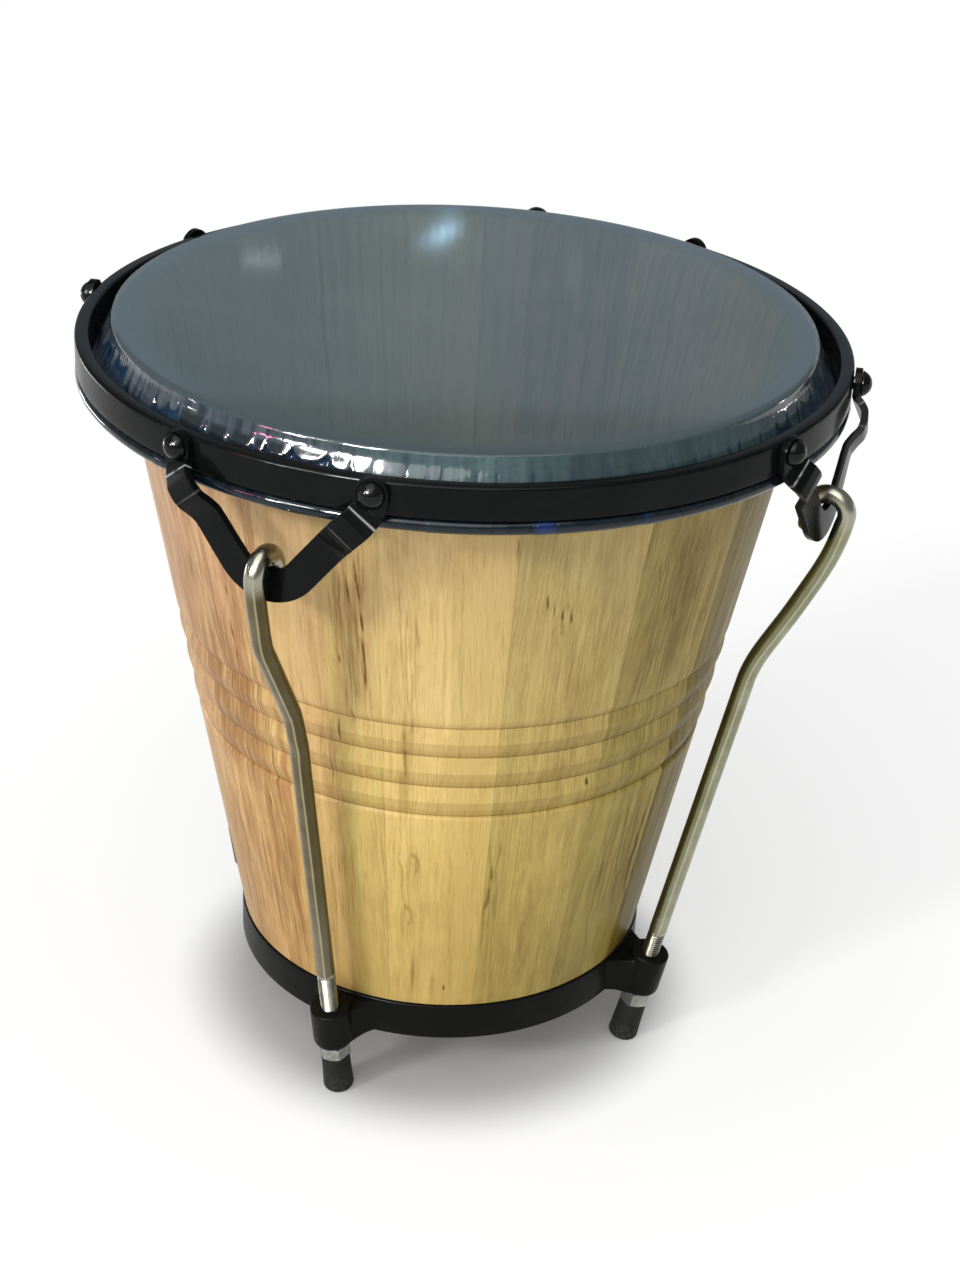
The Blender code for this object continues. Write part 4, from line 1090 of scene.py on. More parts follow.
def make_head():
    steps = 1800
    th = np.linspace(0.0, 2 * math.pi, steps, endpoint=False)
    seen = (np.degrees(th) - VIEW_TURN + 180.0) % 360.0 - 180.0
    look = np.array(SKIRT_LOOK)
    depth, spread, teal, height = (np.interp(seen, look[:, 0], look[:, k]) for k in (1, 2, 3, 4))
    pleat = Ring(98, 11, 0.47)
    small = Ring(420, 12)
    tiny = Ring(900, 17)
    start = Ring(130, 13)
    lean = Ring(60, 14)
    seams = np.radians(np.array(SEAMS))
    since = np.mod(th[:, None] - seams[None, :], 2 * math.pi).min(axis=1) * 165.0
    # film's middle surface, from the middle of the head outwards, to the end of
    # the wrap: (r, z, share down the skirt, angle on the wrap or None)
    path = [(r, -0.20, 0.0, None) for r in (6.0, 30.0, 60.0, 90.0, 115.0, 135.0, 143.0, 146.5)]
    path += [(147.9, -0.205, 0.0, None), (148.7, -0.27, 0.0, None), (149.2, -0.52, 0.0, None),
             (149.5, -1.0, 0.0, None), (149.7, -1.7, 0.02, None)]
    for t in np.linspace(0.05, 1.0, 26):
        path.append((149.75 + 7.5 * t ** 1.15, -1.9 - 17.3 * t, t, None))
    path.append((158.9, -21.4, 1.0, None))
    for a in np.linspace(180.0, 450.0, 28):
        path.append((0.0, 0.0, 1.0, math.radians(a)))
    rows, skins, shades = [], [], []
    # painted shade: the bodies of the tongues on the left front, and the right side of the skirt
    tongue_shade = smooth01((seen + 142.0) / 8.0) * smooth01((-104.0 - seen) / 2.5)
    calm = smooth01((seen + 112.0) / 8.0) * smooth01((-24.0 - seen) / 10.0)
    still = smooth01((seen + 142.0) / 6.0) * smooth01((-92.0 - seen) / 6.0)
    right_shade = 0.62 * smooth01((seen + 86.0) / 14.0) * smooth01((-10.0 - seen) / 20.0)
    for k, (r, z, t, ang) in enumerate(path):
        cell, f = pleat.cells(th + 0.010 * lean(th) * t)
        tall = pleat.own[cell]
        cell2, f2 = small.cells(th + 0.004 * t)
        ridge2 = 1.0 - np.abs(2.0 * f2 - 1.0) ** 1.3
        streak = np.clip(0.45 + (0.40 * small(th + 0.003 * t) + 0.30 * tiny(th)) * (1.0 - 0.45 * calm) + 0.16 * pleat(th) * calm, 0.0, 1.0)
        if ang is None:
            if t > 0.0:
                # tongues: each pleat lies out as far down as its own round end
                reach = depth + spread * (tall - 0.5) * 2.0 + 0.05 * start(th)
                end = reach - 0.22 * np.abs(2.0 * f - 1.0) ** 2.2
                under = smooth01((t - end) / 0.07)            # 1 below the tongue
                valley = np.abs(2.0 * f - 1.0) ** 5.0
                grow = smooth01((t - 0.10) / 0.30) * (1.0 - 0.45 * smooth01((t - 0.78) / 0.22))
                d = height * grow * (0.42 - 0.62 * under - 0.35 * valley)
                d = d + 0.16 * (1.0 - 0.92 * still) * (1.0 - 0.72 * calm) * smooth01(t / 0.10) * (ridge2 - 0.5) * (1.0 - 0.4 * t)
                light = 1.0 - under
                light = light * (1.0 - 0.75 * valley * smooth01((t - 0.15) / 0.2))
            else:
                d = np.zeros(steps)
                light = np.ones(steps)
            rr = r + d
            zz = np.full(steps, z)
            if 0.0 < r < 147.9:
                zz = zz - 0.010 * (1.0 + np.sin(3 * th + r * 0.05)) * min(1.0, (147.9 - r) / 20.0)
            skins.append(np.stack([light, streak, teal], -1))
            body = smooth01((t - 0.16) / 0.10) * (1.0 - smooth01((np.abs(2.0 * f - 1.0) - 0.62) / 0.2)) if t > 0 else 0 * th
            shades.append(np.maximum(tongue_shade * body * (tall > 0.35), right_shade * (0.75 + 0.25 * tall)))
        else:
            # each length of folded edge starts a little proud of the last one
            gap = -0.20 * np.exp(-((since - 0.4) / 0.45) ** 2)
            proud = 0.20 * np.exp(-since / 10.0) + gap
            ripple = 0.008 * small(th) + 0.022 * pleat(th) + 0.03 * start(th + ang * 0.05)
            tube = WRAP_TUBE - 0.22 + (proud + ripple) * (0.0 if ang < math.radians(190) else 1.0)
            rr = HOOP_R + tube * np.cos(ang)
            zz = HOOP_Z + tube * np.sin(ang)
            blue = np.clip(1.0 - np.abs(seen + 78.65) / 1.45, 0.0, 1.0) ** 0.35
            tick = np.where(np.abs(seen + 64.8) < 3.0, 0.9, 0.10)
            blue = np.maximum(blue, tick * np.exp(-((since - 0.7) / 0.5) ** 2))
            skins.append(np.stack([0 * th, np.exp(-since / 9.0) * 0.8, blue], -1))
            shades.append(0 * th)
        rows.append(np.stack([rr, zz], -1))
    mid = np.stack(rows, 1)                      # steps, path, (r, z)
    skin = np.stack(skins, 1)
    d = np.gradient(mid, axis=1)
    length = np.linalg.norm(d, axis=-1, keepdims=True)
    nrm = np.stack([-d[..., 1], d[..., 0]], -1) / np.maximum(length, 1e-9)
    half = FILM_T / 2
    outer = mid + nrm * half
    inner = mid - nrm * half
    outer[..., 1] = np.minimum(outer[..., 1], 0.0)
    n = mid.shape[1]
    sec = np.concatenate([outer, inner[:, ::-1]], 1)     # closed section, open at the middle
    skin = np.concatenate([skin, skin[:, ::-1]], 1).reshape(-1, 3)
    m = sec.shape[1]
    c, s = np.cos(th)[:, None], np.sin(th)[:, None]
    co = np.stack([sec[..., 0] * c, sec[..., 0] * s, up(sec[..., 1])], -1).reshape(-1, 3)
    faces = quads(steps, m, wrap_u=True)
    where = []
    for k in range(m - 1):
        q = k if k < n else 2 * n - 1 - k
        q = min(q, n - 1)
        ang = path[q][3]
        where.append(2 if ang is not None else (1 if path[q][1] < -0.6 else 0))
    index = list(np.tile(where, steps))
    a = len(co)
    co = np.vstack([co, [[0, 0, up(-0.03)], [0, 0, up(-0.38)]]])
    skin = np.vstack([skin, [[1.0, 0.5, 0.5], [1.0, 0.5, 0.5]]])
    for i in range(steps):
        j = (i + 1) % steps
        faces.append([a, j * m, i * m])
        faces.append([a + 1, i * m + m - 1, j * m + m - 1])
        index += [0, 0]
    o = mesh_object("head_film_skin", co * MM, faces, [FILM_TOP, FILM_SKIRT, FILM_WRAP],
                    sharp=0, index=index)
    vector_attribute(o.data, "skin", skin)
    shade = np.concatenate([np.stack(shades, 1), np.stack(shades, 1)[:, ::-1]], 1).ravel()
    at = o.data.attributes.new("shade", "FLOAT", "POINT")
    at.data.foreach_set("value", np.append(shade, [0.0, 0.0]).astype(np.float32))
    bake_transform(o)
    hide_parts("head_film")


make_head()


def make_hoop():
    s = Shader("hoop_bare_steel")
    p = s.place()
    n = s.noise(p, 260.0, 3.0, 0.6)
    s.set(base=s.mix(n, (0.24, 0.25, 0.27), (0.42, 0.43, 0.45)), metal=1.0,
          rough=s.band(n, 0.3, 0.7, 0.32, 0.5), normal=s.bump(n, 0.1, 0.0002))
    prof = arc(HOOP_R, up(HOOP_Z), 2.2, 0, 345, 24)
    o = turned("flesh_hoop_wire", prof, 288, [s.material])
    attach(o, "rim_assembly")
    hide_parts("flesh_hoop")


make_hoop()

# ================================================================= hook rods
ROD_R, THREAD_R, THREAD_DEPTH, THREAD_PITCH = 4.1, 4.0, 0.72, 1.25
HOOK_R, HOOK_OUT, HOOK_Z, HOOK_TIP_Z = 8.0, 175.6, -52.0, -61.5
# the crank below the hook: the bars are bent by hand, one more sharply
CRANK = ((174.9, -56.0), (173.1, -63.5), (170.8, -71.0), (167.8, -78.7), (164.2, -86.7),
         (157.0, -102.0), (148.3, -119.0), (144.3, -127.5), (141.4, -136.0))
CRANK_SHARP = ((175.0, -56.0), (173.6, -63.5), (172.0, -71.0), (170.3, -78.5), (168.3, -84.5),
               (165.0, -90.5), (157.6, -103.6), (149.2, -118.4), (146.0, -124.4), (143.9, -130.0),
               (141.8, -137.0))
ROD_END = 30.0


def plated(name, base, base2, rough, thread=False, reflection_dark_to=(0.60, 0.60, 0.40), reflection_dark_share=0.62):
    """Plating on drawn bar, with painted reflections round the bar: long dark
    bands and thin highlight lines. 'run' is the place round the bar and the length along it, in mm."""
    s = Shader(name)
    run = s.attribute("run").outputs["Vector"]
    a, b, c = s.split(run)
    brush = s.noise(s.join(s.math("MULTIPLY", a, 1.9), s.math("MULTIPLY", b, 1.9), s.math("MULTIPLY", c, 0.05)), 1.0, 3.0, 0.6)
    cloud = s.noise(run, 0.09, 4.0, 0.6)
    pits = s.noise(run, 1.6, 3.0, 0.7)
    colour = s.mix(s.band(cloud, 0.35, 0.7), base, base2)
    # place round the bar, -1 to 1, wandering a little along it
    turn = s.math("DIVIDE", s.math("ARCTAN2", b, a), math.pi)
    turn = s.math("ADD", turn, s.math("MULTIPLY", s.math("SUBTRACT", s.noise(s.join(0.0, 0.0, s.math("MULTIPLY", c, 0.02)), 1.0, 2.0), 0.5), 0.10))
    # painted reflections: dark bands and thin highlight lines at fixed places round the bar
    dark_reflection = s.math("MULTIPLY", s.band(turn, -0.92, -0.84), s.band(turn, -0.44, -0.40, 1.0, 0.0))
    dark_reflection2 = s.math("MULTIPLY", s.band(turn, 0.16, 0.20), s.band(turn, 0.62, 0.72, 1.0, 0.0))
    dark_reflection = s.math("MAXIMUM", dark_reflection, dark_reflection2)
    painted_highlight = s.math("MULTIPLY", s.band(turn, -0.42, -0.39), s.band(turn, -0.36, -0.33, 1.0, 0.0))
    painted_highlight2 = s.math("MULTIPLY", s.band(turn, 0.09, 0.12), s.band(turn, 0.15, 0.18, 1.0, 0.0))
    painted_highlight = s.math("MAXIMUM", painted_highlight, painted_highlight2)
    amount = 0.45 if thread else 1.0
    colour = s.mix(s.math("MULTIPLY", dark_reflection, reflection_dark_share * amount), colour, tuple(k * f for k, f in zip(base, reflection_dark_to)))
    colour = s.mix(s.math("MULTIPLY", painted_highlight, 0.42), colour, (0.58, 0.54, 0.38))
    colour = s.mix(s.math("MULTIPLY", s.band(pits, 0.66, 0.78), 0.35), colour, (0.10, 0.085, 0.05))
    if not thread:                            # painted highlight: lighter on the hook's bend and toward the lower end
        colour = s.mix(s.attribute("hook").outputs["Fac"], colour, (0.40, 0.385, 0.31))
    if thread:
        # painted shade in the roots of the thread
        cut = s.attribute("cut").outputs["Fac"]
        colour = s.mix(s.band(cut, 0.20, 0.70), colour, (0.018, 0.016, 0.010))
    h = s.math("ADD", s.math("MULTIPLY", brush, 0.6), s.math("MULTIPLY", cloud, 1.2))
    s.set(base=colour, metal=1.0, rough=s.band(brush, 0.3, 0.7, rough - 0.05, rough + 0.07, smooth=False),
          normal=s.bump(h, 0.16, 0.00022))
    return s.material


PLATED = plated("rod_plating", (0.138, 0.115, 0.060), (0.188, 0.162, 0.092), 0.20, reflection_dark_to=(0.48, 0.46, 0.28), reflection_dark_share=0.70)
# painted light: a lighter copy of the plating, for the rod at the right
PLATED_LIT = plated("rod_plating_lit", (0.235, 0.232, 0.150), (0.320, 0.320, 0.230), 0.27)
THREAD = plated("rod_thread", (0.330, 0.320, 0.270), (0.450, 0.440, 0.385), 0.20, thread=True)


def rod_line(crank):
    tip_r = HOOK_OUT - 2 * HOOK_R
    pts = [(tip_r, HOOK_TIP_Z), (tip_r, HOOK_TIP_Z + 2.5), (tip_r, HOOK_TIP_Z + 6.0)]
    for k in range(13):
        a = math.radians(180.0 - 15.0 * k)
        pts.append((tip_r + HOOK_R + HOOK_R * math.cos(a), HOOK_Z + HOOK_R * math.sin(a)))
    pts += list(crank)

    def on_axis(u):
        return (AXIS_R - math.sin(TILT) * u, AXIS_Z - math.cos(TILT) * u)

    for u in (-171.0, -160.0, -130.0, -100.0, -70.0, -50.0, -38.4):
        pts.append(on_axis(u))
    return np.array(pts), on_axis


def spline(points, spacing):
    """Centripetal Catmull-Rom line through the points, evenly spaced."""
    p = np.vstack([2 * points[0] - points[1], points, 2 * points[-1] - points[-2]])
    out = []
    for i in range(1, len(p) - 2):
        p0, p1, p2, p3 = p[i - 1:i + 3]
        t0 = 0.0
        t1 = t0 + np.linalg.norm(p1 - p0) ** 0.5
        t2 = t1 + np.linalg.norm(p2 - p1) ** 0.5
        t3 = t2 + np.linalg.norm(p3 - p2) ** 0.5
        n = max(2, int(np.linalg.norm(p2 - p1) / spacing * 3))
        for t in np.linspace(t1, t2, n, endpoint=False):
            a1 = (t1 - t) / (t1 - t0) * p0 + (t - t0) / (t1 - t0) * p1
            a2 = (t2 - t) / (t2 - t1) * p1 + (t - t1) / (t2 - t1) * p2
            a3 = (t3 - t) / (t3 - t2) * p2 + (t - t2) / (t3 - t2) * p3
            b1 = (t2 - t) / (t2 - t0) * a1 + (t - t0) / (t2 - t0) * a2
            b2 = (t3 - t) / (t3 - t1) * a2 + (t - t1) / (t3 - t1) * a3
            out.append((t2 - t) / (t2 - t1) * b1 + (t - t1) / (t2 - t1) * b2)
    out.append(p[-2])
    out = np.array(out)
    run = np.concatenate([[0], np.cumsum(np.linalg.norm(np.diff(out, axis=0), axis=1))])
    even = np.linspace(0, run[-1], int(run[-1] / spacing) + 1)
    return np.stack([np.interp(even, run, out[:, 0]), np.interp(even, run, out[:, 1])], -1)


def make_rods():
    sides = 40
    phi = np.linspace(0.0, 2 * math.pi, sides, endpoint=False)
    for number, (name, az) in enumerate(LUGS):
        pts, on_axis = rod_line(CRANK_SHARP if name in ("ny", "py") else CRANK)
        line = spline(pts, 0.9)
        plain = len(line)
        # threaded part and plain end, down the axis
        begin = -30.2 if name == "px" else -38.2
        us = list(np.arange(-38.2, 15.2, THREAD_PITCH / 10)) + list(np.linspace(16.0, ROD_END - 0.8, 8)) + [ROD_END]
        path = np.vstack([line, np.array([on_axis(u) for u in us])])
        tang = np.gradient(path, axis=0)
        tang /= np.linalg.norm(tang, axis=1, keepdims=True)
        nrm = np.stack([tang[:, 1], -tang[:, 0]], -1)
        bend = np.linalg.norm(np.gradient(tang, axis=0), axis=1)
        bend[plain - 2:] = 0.0
        k = np.ones(9) / 9
        bend = np.convolve(np.pad(bend, 4, mode="edge"), k, mode="valid")
        radius = np.full((len(path), sides), ROD_R)
        # the bar is a little flattened where it was bent, and drawn not quite round
        flat = np.clip(bend * 0.9, 0.0, 0.06)
        radius *= 1.0 - flat[:, None] * (np.cos(phi)[None, :] ** 2)
        radius *= 1.0 - 0.012 * (1.0 + np.cos(3.0 * phi + 0.7 * number))[None, :]
        radius[0] *= 0.66
        radius[1] *= 0.9
        cut = np.zeros((len(path), sides))
        for j, u in enumerate(us):
            row = plain + j
            if u < 15.3:
                ph = np.mod(u / THREAD_PITCH + phi / (2 * math.pi), 1.0)
                tri = np.abs(2.0 * ph - 1.0)
                c = np.clip(tri * 1.35 - 0.2, 0.0, 1.0) * min(1.0, max(0.0, u - begin + 0.2) / 2.5)
                radius[row] = (THREAD_R if u > begin else ROD_R) - THREAD_DEPTH * c
                cut[row] = c
            else:
                radius[row] = THREAD_R - 0.2
        radius[-1] *= 0.86
        run = np.concatenate([[0], np.cumsum(np.linalg.norm(np.diff(path, axis=0), axis=1))])
        a = math.radians(az)
        er = np.array([math.cos(a), math.sin(a), 0.0])
        side = np.array([-math.sin(a), math.cos(a), 0.0])
        ez = np.array([0.0, 0.0, 1.0])
        centre = path[:, 0][:, None] * er + up(path[:, 1])[:, None] * ez
        # nn points out of the drum on the straight lower part
        nn = -(nrm[:, 0][:, None] * er + nrm[:, 1][:, None] * ez)
        co = (centre[:, None, :] + radius[..., None] * (np.cos(phi)[None, :, None] * nn[:, None, :]
                                                       + np.sin(phi)[None, :, None] * side))
        faces = quads(len(path), sides, wrap_v=True)
        shift = sum(1 for u in us if u < begin)
        index = list(np.repeat([0 if j < plain - 1 + shift else 1 for j in range(len(path) - 1)], sides))
        faces.append(list(range(sides)))
        faces.append(list(range((len(path) - 1) * sides, len(path) * sides))[::-1])
        index += [0, 1]
        o = mesh_object("hook_rod_bar_" + name, co * MM, faces,
                        [PLATED_LIT if name == "px" else PLATED, THREAD], sharp=60, index=index)
        att = np.stack([np.broadcast_to(ROD_R * np.cos(phi)[None, :], radius.shape),
                        np.broadcast_to(ROD_R * np.sin(phi)[None, :], radius.shape),
                        np.broadcast_to(run[:, None] + az, radius.shape)], -1)
        vector_attribute(o.data, "run", att)
        # painted highlight, strong on the hook's bend and faint toward the lower end
        hook = 0.8 * smooth01((42.0 - run[:, None]) / 9.0)
        hook = hook + 0.16 * smooth01((run[:, None] - run[plain - 1] + 62.0) / 45.0)
        hook = np.broadcast_to(hook, radius.shape)
        c = o.data.attributes.new("hook", "FLOAT", "POINT")
        c.data.foreach_set("value", hook.astype(np.float32).ravel())
        c = o.data.attributes.new("cut", "FLOAT", "POINT")
        c.data.foreach_set("value", cut.astype(np.float32).ravel())
        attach(o, "hook_rod_" + name)
        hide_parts("rod_" + name)


make_rods()


# ====================================================================== nuts
NUT_TOP, NUT_BOTTOM, NUT_FLATS, NUT_BORE = 5.3, 13.1, 13.0, 4.3


def zinc():
    s = Shader("nut_zinc")
    p = s.place()
    cloud = s.noise(p, 240.0, 4.0, 0.65)
    speck = s.noise(p, 1700.0, 2.0, 0.6)
    colour = s.mix(s.band(cloud, 0.34, 0.68), (0.36, 0.37, 0.33), (0.22, 0.23, 0.20))
    colour = s.mix(s.math("MULTIPLY", s.band(speck, 0.62, 0.74), 0.5), colour, (0.14, 0.14, 0.12))
    s.set(base=colour, metal=1.0, rough=s.band(cloud, 0.3, 0.7, 0.20, 0.32, smooth=False),
          normal=s.bump(s.math("ADD", cloud, s.math("MULTIPLY", speck, 0.5)), 0.16, 0.0002))
    return s.material


ZINC = zinc()


def make_nuts():
    steps = 120
    th = np.linspace(0.0, 2 * math.pi, steps, endpoint=False)
    flat = NUT_FLATS / 2
    local = np.mod(th + math.pi / 6, math.pi / 3) - math.pi / 6
    hexa = flat / np.cos(local)
    hexa = np.minimum(hexa, flat / math.cos(math.pi / 6) - 0.12)
    face_r = flat - 0.25
    drop_ = np.maximum(hexa - face_r, 0.0) * math.tan(math.radians(30))
    rows = []

    def ring(r, u):
        rows.append(np.stack([r * np.cos(th), r * np.sin(th), -np.broadcast_to(u, th.shape)], -1))

    ring(np.full(steps, NUT_BORE), NUT_TOP + 0.8)
    ring(np.full(steps, NUT_BORE + 0.5), NUT_TOP)
    ring(np.minimum(hexa, face_r), NUT_TOP)
    ring(hexa, NUT_TOP + drop_)
    ring(hexa, NUT_BOTTOM - drop_)
    ring(np.minimum(hexa, face_r), NUT_BOTTOM)
    ring(np.full(steps, NUT_BORE + 0.5), NUT_BOTTOM)
    ring(np.full(steps, NUT_BORE), NUT_BOTTOM - 0.8)
    co = np.stack(rows, 1).reshape(-1, 3)
    for k, (name, az) in enumerate(LUGS):
        turn = Matrix.Rotation(math.radians((8.0, 21.0, 47.0, 14.0)[k]), 4, "Z")
        m = np.array(rod_frame(az) @ turn)
        w = (co * MM) @ m[:3, :3].T + m[:3, 3]
        o = mesh_object("nut_hex_" + name, w, quads(steps, 8, wrap_u=True, wrap_v=True), [ZINC], sharp=24)
        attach(o, "tension_nut_" + name)
        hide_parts("nut_" + name)


make_nuts()

# ====================================================================== caps
CAP_TOP, CAP_BOTTOM, CAP_R1, CAP_R2, CAP_BORE = 13.4, 35.0, 6.4, 7.0, 4.3


def rubber():
    s = Shader("rubber_foot")
    p = s.place()
    grain = s.noise(p, 900.0, 3.0, 0.6)
    cloud = s.noise(p, 120.0, 3.0, 0.6)
    x, y, z = s.split(p)
    dusty = s.band(z, 0.002, 0.016, 0.5, 0.0)
    colour = s.mix(s.band(cloud, 0.35, 0.7), (0.0066, 0.0077, 0.0062), (0.0112, 0.0124, 0.0102))
    colour = s.mix(s.math("MULTIPLY", dusty, s.band(grain, 0.4, 0.7)), colour, (0.075, 0.073, 0.066))
    s.set(base=colour, rough=s.band(cloud, 0.3, 0.7, 0.55, 0.72, smooth=False), specular=0.16,
          normal=s.bump(s.math("ADD", s.math("MULTIPLY", grain, 0.5), cloud), 0.25, 0.00025))
    return s.material


RUBBER = rubber()


def make_caps():
    prof = [(0.0, -(ROD_END + 0.5)), (CAP_BORE, -(ROD_END + 0.5)), (CAP_BORE, -(CAP_TOP + 4.0)),
            (CAP_BORE, -CAP_TOP - 0.3), (CAP_BORE + 0.3, -CAP_TOP)]
    prof += arc(CAP_R1 - 0.9, -CAP_TOP - 0.9, 0.9, 90, 5, 6)
    for t in np.linspace(0.06, 0.9, 12):
        prof.append((CAP_R1 + (CAP_R2 - CAP_R1) * t ** 1.3, -(CAP_TOP + (CAP_BOTTOM - CAP_TOP) * t)))
    prof += arc(CAP_R2 - 1.9, -CAP_BOTTOM + 1.9, 1.9, 0, -90, 8)
    prof += [(r, -CAP_BOTTOM) for r in (4.0, 2.6, 1.2)] + [(0.0, -CAP_BOTTOM)]
    for name, az in LUGS:
        o = turned("foot_cap_" + name, prof, 64, [RUBBER], sharp=40, matrix=rod_frame(az))
        for v in o.data.vertices:             # pressed flat where it stands
            if v.co.z < 0.0:
                v.co.z = 0.0
        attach(o, "hook_rod_" + name)
        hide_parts("cap_" + name)


make_caps()


# ============================================================= floor and light
def make_floor():
    bm = bmesh.new()
    bmesh.ops.create_grid(bm, x_segments=8, y_segments=8, size=9.0)
    me = bpy.data.meshes.new("studio_floor")
    bm.to_mesh(me)
    bm.free()
    s = Shader("pale_floor")
    n = s.noise(s.place(), 3.0, 3.0, 0.5)
    tint = s.mix(n, (0.925, 0.925, 0.925), (0.94, 0.94, 0.94))
    s.set(base=s.mix(0.62, tint, (0.0, 0.0, 0.0)), rough=0.7, specular=0.1)
    # painted shadow: the floor's glow fades to a little under the drum
    x, y, z = s.split(s.place())
    r = s.math("SQRT", s.math("ADD", s.math("MULTIPLY", x, x), s.math("MULTIPLY", y, y)))
    s.put(s.bsdf.inputs["Emission Color"], s.mix(s.band(r, 0.088, 0.135, 0.12, 1.0), (0.0, 0.0, 0.0), tint))
    s.put(s.bsdf.inputs["Emission Strength"], 0.66)
    me.materials.append(s.material)
    o = bpy.data.objects.new("studio_floor", me)
    SCENE.collection.objects.link(o)
    o.location.z = -0.0004


make_floor()


def make_backdrop():
    """A plain pale wall far behind, on every side, which takes no part in the
    light on the drum."""
    steps, rows = 96, ((8.8, -0.05), (8.8, 1.5), (8.8, 6.0))
    co = [(r * math.cos(2 * math.pi * k / steps), r * math.sin(2 * math.pi * k / steps), z)
          for k in range(steps) for r, z in rows]
    me = bpy.data.meshes.new("studio_wall")
    me.from_pydata(co, [], quads(steps, 3, wrap_u=True))
    s = Shader("pale_wall")
    n = s.noise(s.place(), 0.7, 2.0, 0.5)
    s.set(base=(0.0, 0.0, 0.0), rough=1.0, specular=0.0)
    s.put(s.bsdf.inputs["Emission Color"], s.mix(n, (0.985, 0.985, 0.98), (0.998, 0.998, 0.995)))
    s.put(s.bsdf.inputs["Emission Strength"], 1.0)
    me.materials.append(s.material)
    o = bpy.data.objects.new("studio_wall", me)
    SCENE.collection.objects.link(o)
    o.visible_diffuse = o.visible_glossy = o.visible_transmission = False
    o.visible_shadow = o.visible_volume_scatter = False


make_backdrop()


def direction(az_seen, elevation):
    a = math.radians(az_seen + VIEW_TURN)
    e = math.radians(elevation)
    return Vector((math.cos(a) * math.cos(e), math.sin(a) * math.cos(e), math.sin(e)))


def sun(name, az_seen, elevation, strength, angle, colour=(1, 1, 1)):
    d = bpy.data.lights.new(name, "SUN")
    d.energy = strength
    d.angle = math.radians(angle)
    d.color = colour
    o = bpy.data.objects.new(name, d)
    SCENE.collection.objects.link(o)
    o.rotation_euler = direction(az_seen, elevation).to_track_quat("Z", "Y").to_euler()
    return o


def panel(name, position, target, size, power, colour=(1, 1, 1), size_y=None):
    d = bpy.data.lights.new(name, "AREA")
    d.shape = "RECTANGLE"
    d.size = size
    d.size_y = size_y or size
    d.energy = power
    d.color = colour
    o = bpy.data.objects.new(name, d)
    SCENE.collection.objects.link(o)
    position, target = Vector(position), Vector(target)
    o.visible_camera = False
    o.visible_diffuse = False
    o.location = position
    o.rotation_euler = (position - target).to_track_quat("Z", "Y").to_euler()
    return o


sun("key_left", -138.0, 31.0, 1.45, 10.0, (1.0, 0.985, 0.96))
sun("front", -100.0, 42.0, 0.80, 40.0, (1.0, 0.99, 0.97))
sun("overhead", -110.0, 70.0, 1.55, 60.0, (1.0, 1.0, 0.99))

world = bpy.data.worlds.new("studio")
SCENE.world = world
world.use_nodes = True
bg = world.node_tree.nodes["Background"]
bg.inputs[0].default_value = (0.93, 0.97, 1.0, 1.0)
bg.inputs[1].default_value = 0.27

# ==================================================================== camera
EYE = Vector((0.402764, -0.848218, 0.689095))
RIGHT = Vector((0.89761, 0.43839, 0.04591))
ABOVE = Vector((-0.24373, 0.40684, 0.88038))
BACK = Vector((0.36727, -0.80143, 0.47204))


def make_camera():
    d = bpy.data.cameras.new("photo_view")
    d.sensor_fit = "VERTICAL"
    d.sensor_height = 36.0
    d.lens = 65.53125
    d.clip_start = 0.02
    o = bpy.data.objects.new("photo_view", d)
    SCENE.collection.objects.link(o)
    m = Matrix((RIGHT, ABOVE, BACK)).transposed().to_4x4()
    m.translation = EYE
    o.matrix_world = m
    SCENE.camera = o


make_camera()


def glint(name, px, py, distance, size, power, size_y=None, colour=(0.85, 0.93, 1.0)):
    """A small lamp placed so that the playing surface mirrors it at a point of
    the 960 x 1280 picture."""
    d = (RIGHT * ((px - 480) / 2330) + ABOVE * (-(py - 640) / 2330) - BACK).normalized()
    t = (HEIGHT * MM - EYE.z) / d.z
    p = EYE + d * t
    out = Vector((d.x, d.y, -d.z))
    panel(name, p + out * distance, p, size, power, colour, size_y)


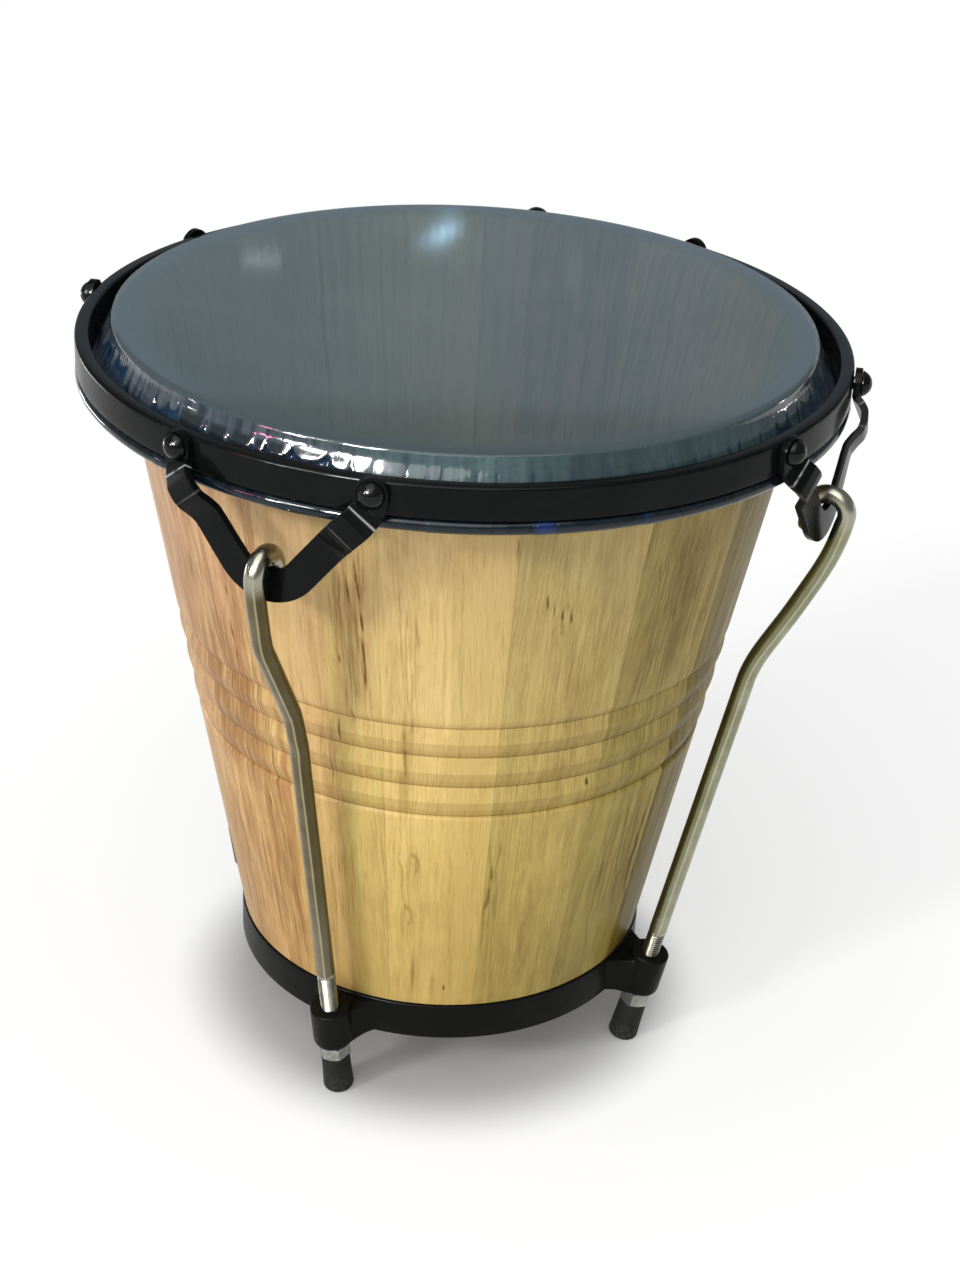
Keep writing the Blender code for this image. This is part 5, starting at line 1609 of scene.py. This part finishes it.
def gleam(name, px, py, z, lean, distance, size, power, size_y=None, colour=(1.0, 1.0, 1.0)):
    """A soft lamp mirrored by an upright surface that leans back by lean
    degrees, z mm below the head's top, where the picture shows its gleam."""
    d = (RIGHT * ((px - 480) / 2330) + ABOVE * (-(py - 640) / 2330) - BACK).normalized()
    t = ((HEIGHT + z) * MM - EYE.z) / d.z
    p = EYE + d * t
    er = Vector((p.x, p.y, 0.0)).normalized()
    e = math.radians(lean)
    n = er * math.cos(e) + Vector((0.0, 0.0, math.sin(e)))
    out = d - 2.0 * d.dot(n) * n
    panel(name, p + out * distance, p, size, power, colour, size_y)


for number in range(5):                      # a slanting strip light
    glint("strip_%d" % number, 419 + 9.5 * number, 243 - 3.9 * number, 2.4, 0.022,
          (0.0014, 0.0034, 0.0072, 0.0084, 0.0036)[number], 0.022, (0.45, 0.76, 1.0))
glint("lamp_left", 262, 260, 2.4, 0.055, 0.0050, 0.008, (0.80, 0.92, 1.0))
glint("lamp_right", 574, 268, 2.4, 0.022, 0.0012, 0.060, (0.70, 0.85, 1.0))
gleam("softbox_left", 297, 450, -8.0, 23.0, 1.3, 0.15, 9.0)
gleam("pink_edge", 268, 436, -5.0, 23.0, 1.3, 0.10, 1.2, 0.10, (1.0, 0.20, 0.42))
gleam("softbox_right", 790, 420, -8.0, 23.0, 1.3, 0.030, 0.22)
gleam("spark_left", 196, 416, -8.0, 23.0, 1.3, 0.04, 0.45, 0.04, (1.0, 0.80, 0.86))
gleam("rim_gleam", 76, 400, -13.0, 2.0, 1.3, 0.50, 13.0)
gleam("crease_left", 345, 522, -23.0, 29.0, 1.3, 0.26, 45.0)
panel("spark", EYE + RIGHT * -0.35 + ABOVE * 0.45, (0.0, 0.0, HEIGHT * MM), 0.07, 2.4)
panel("low_window", direction(90.0, 24.0) * 3.2, (0.0, 0.0, HEIGHT * MM), 3.6, 3.0, (0.60, 0.80, 1.0), 0.55)

SCENE.view_settings.view_transform = "Standard"
SCENE.view_settings.look = "None"
SCENE.view_settings.exposure = 0.0
SCENE.view_settings.gamma = 1.0
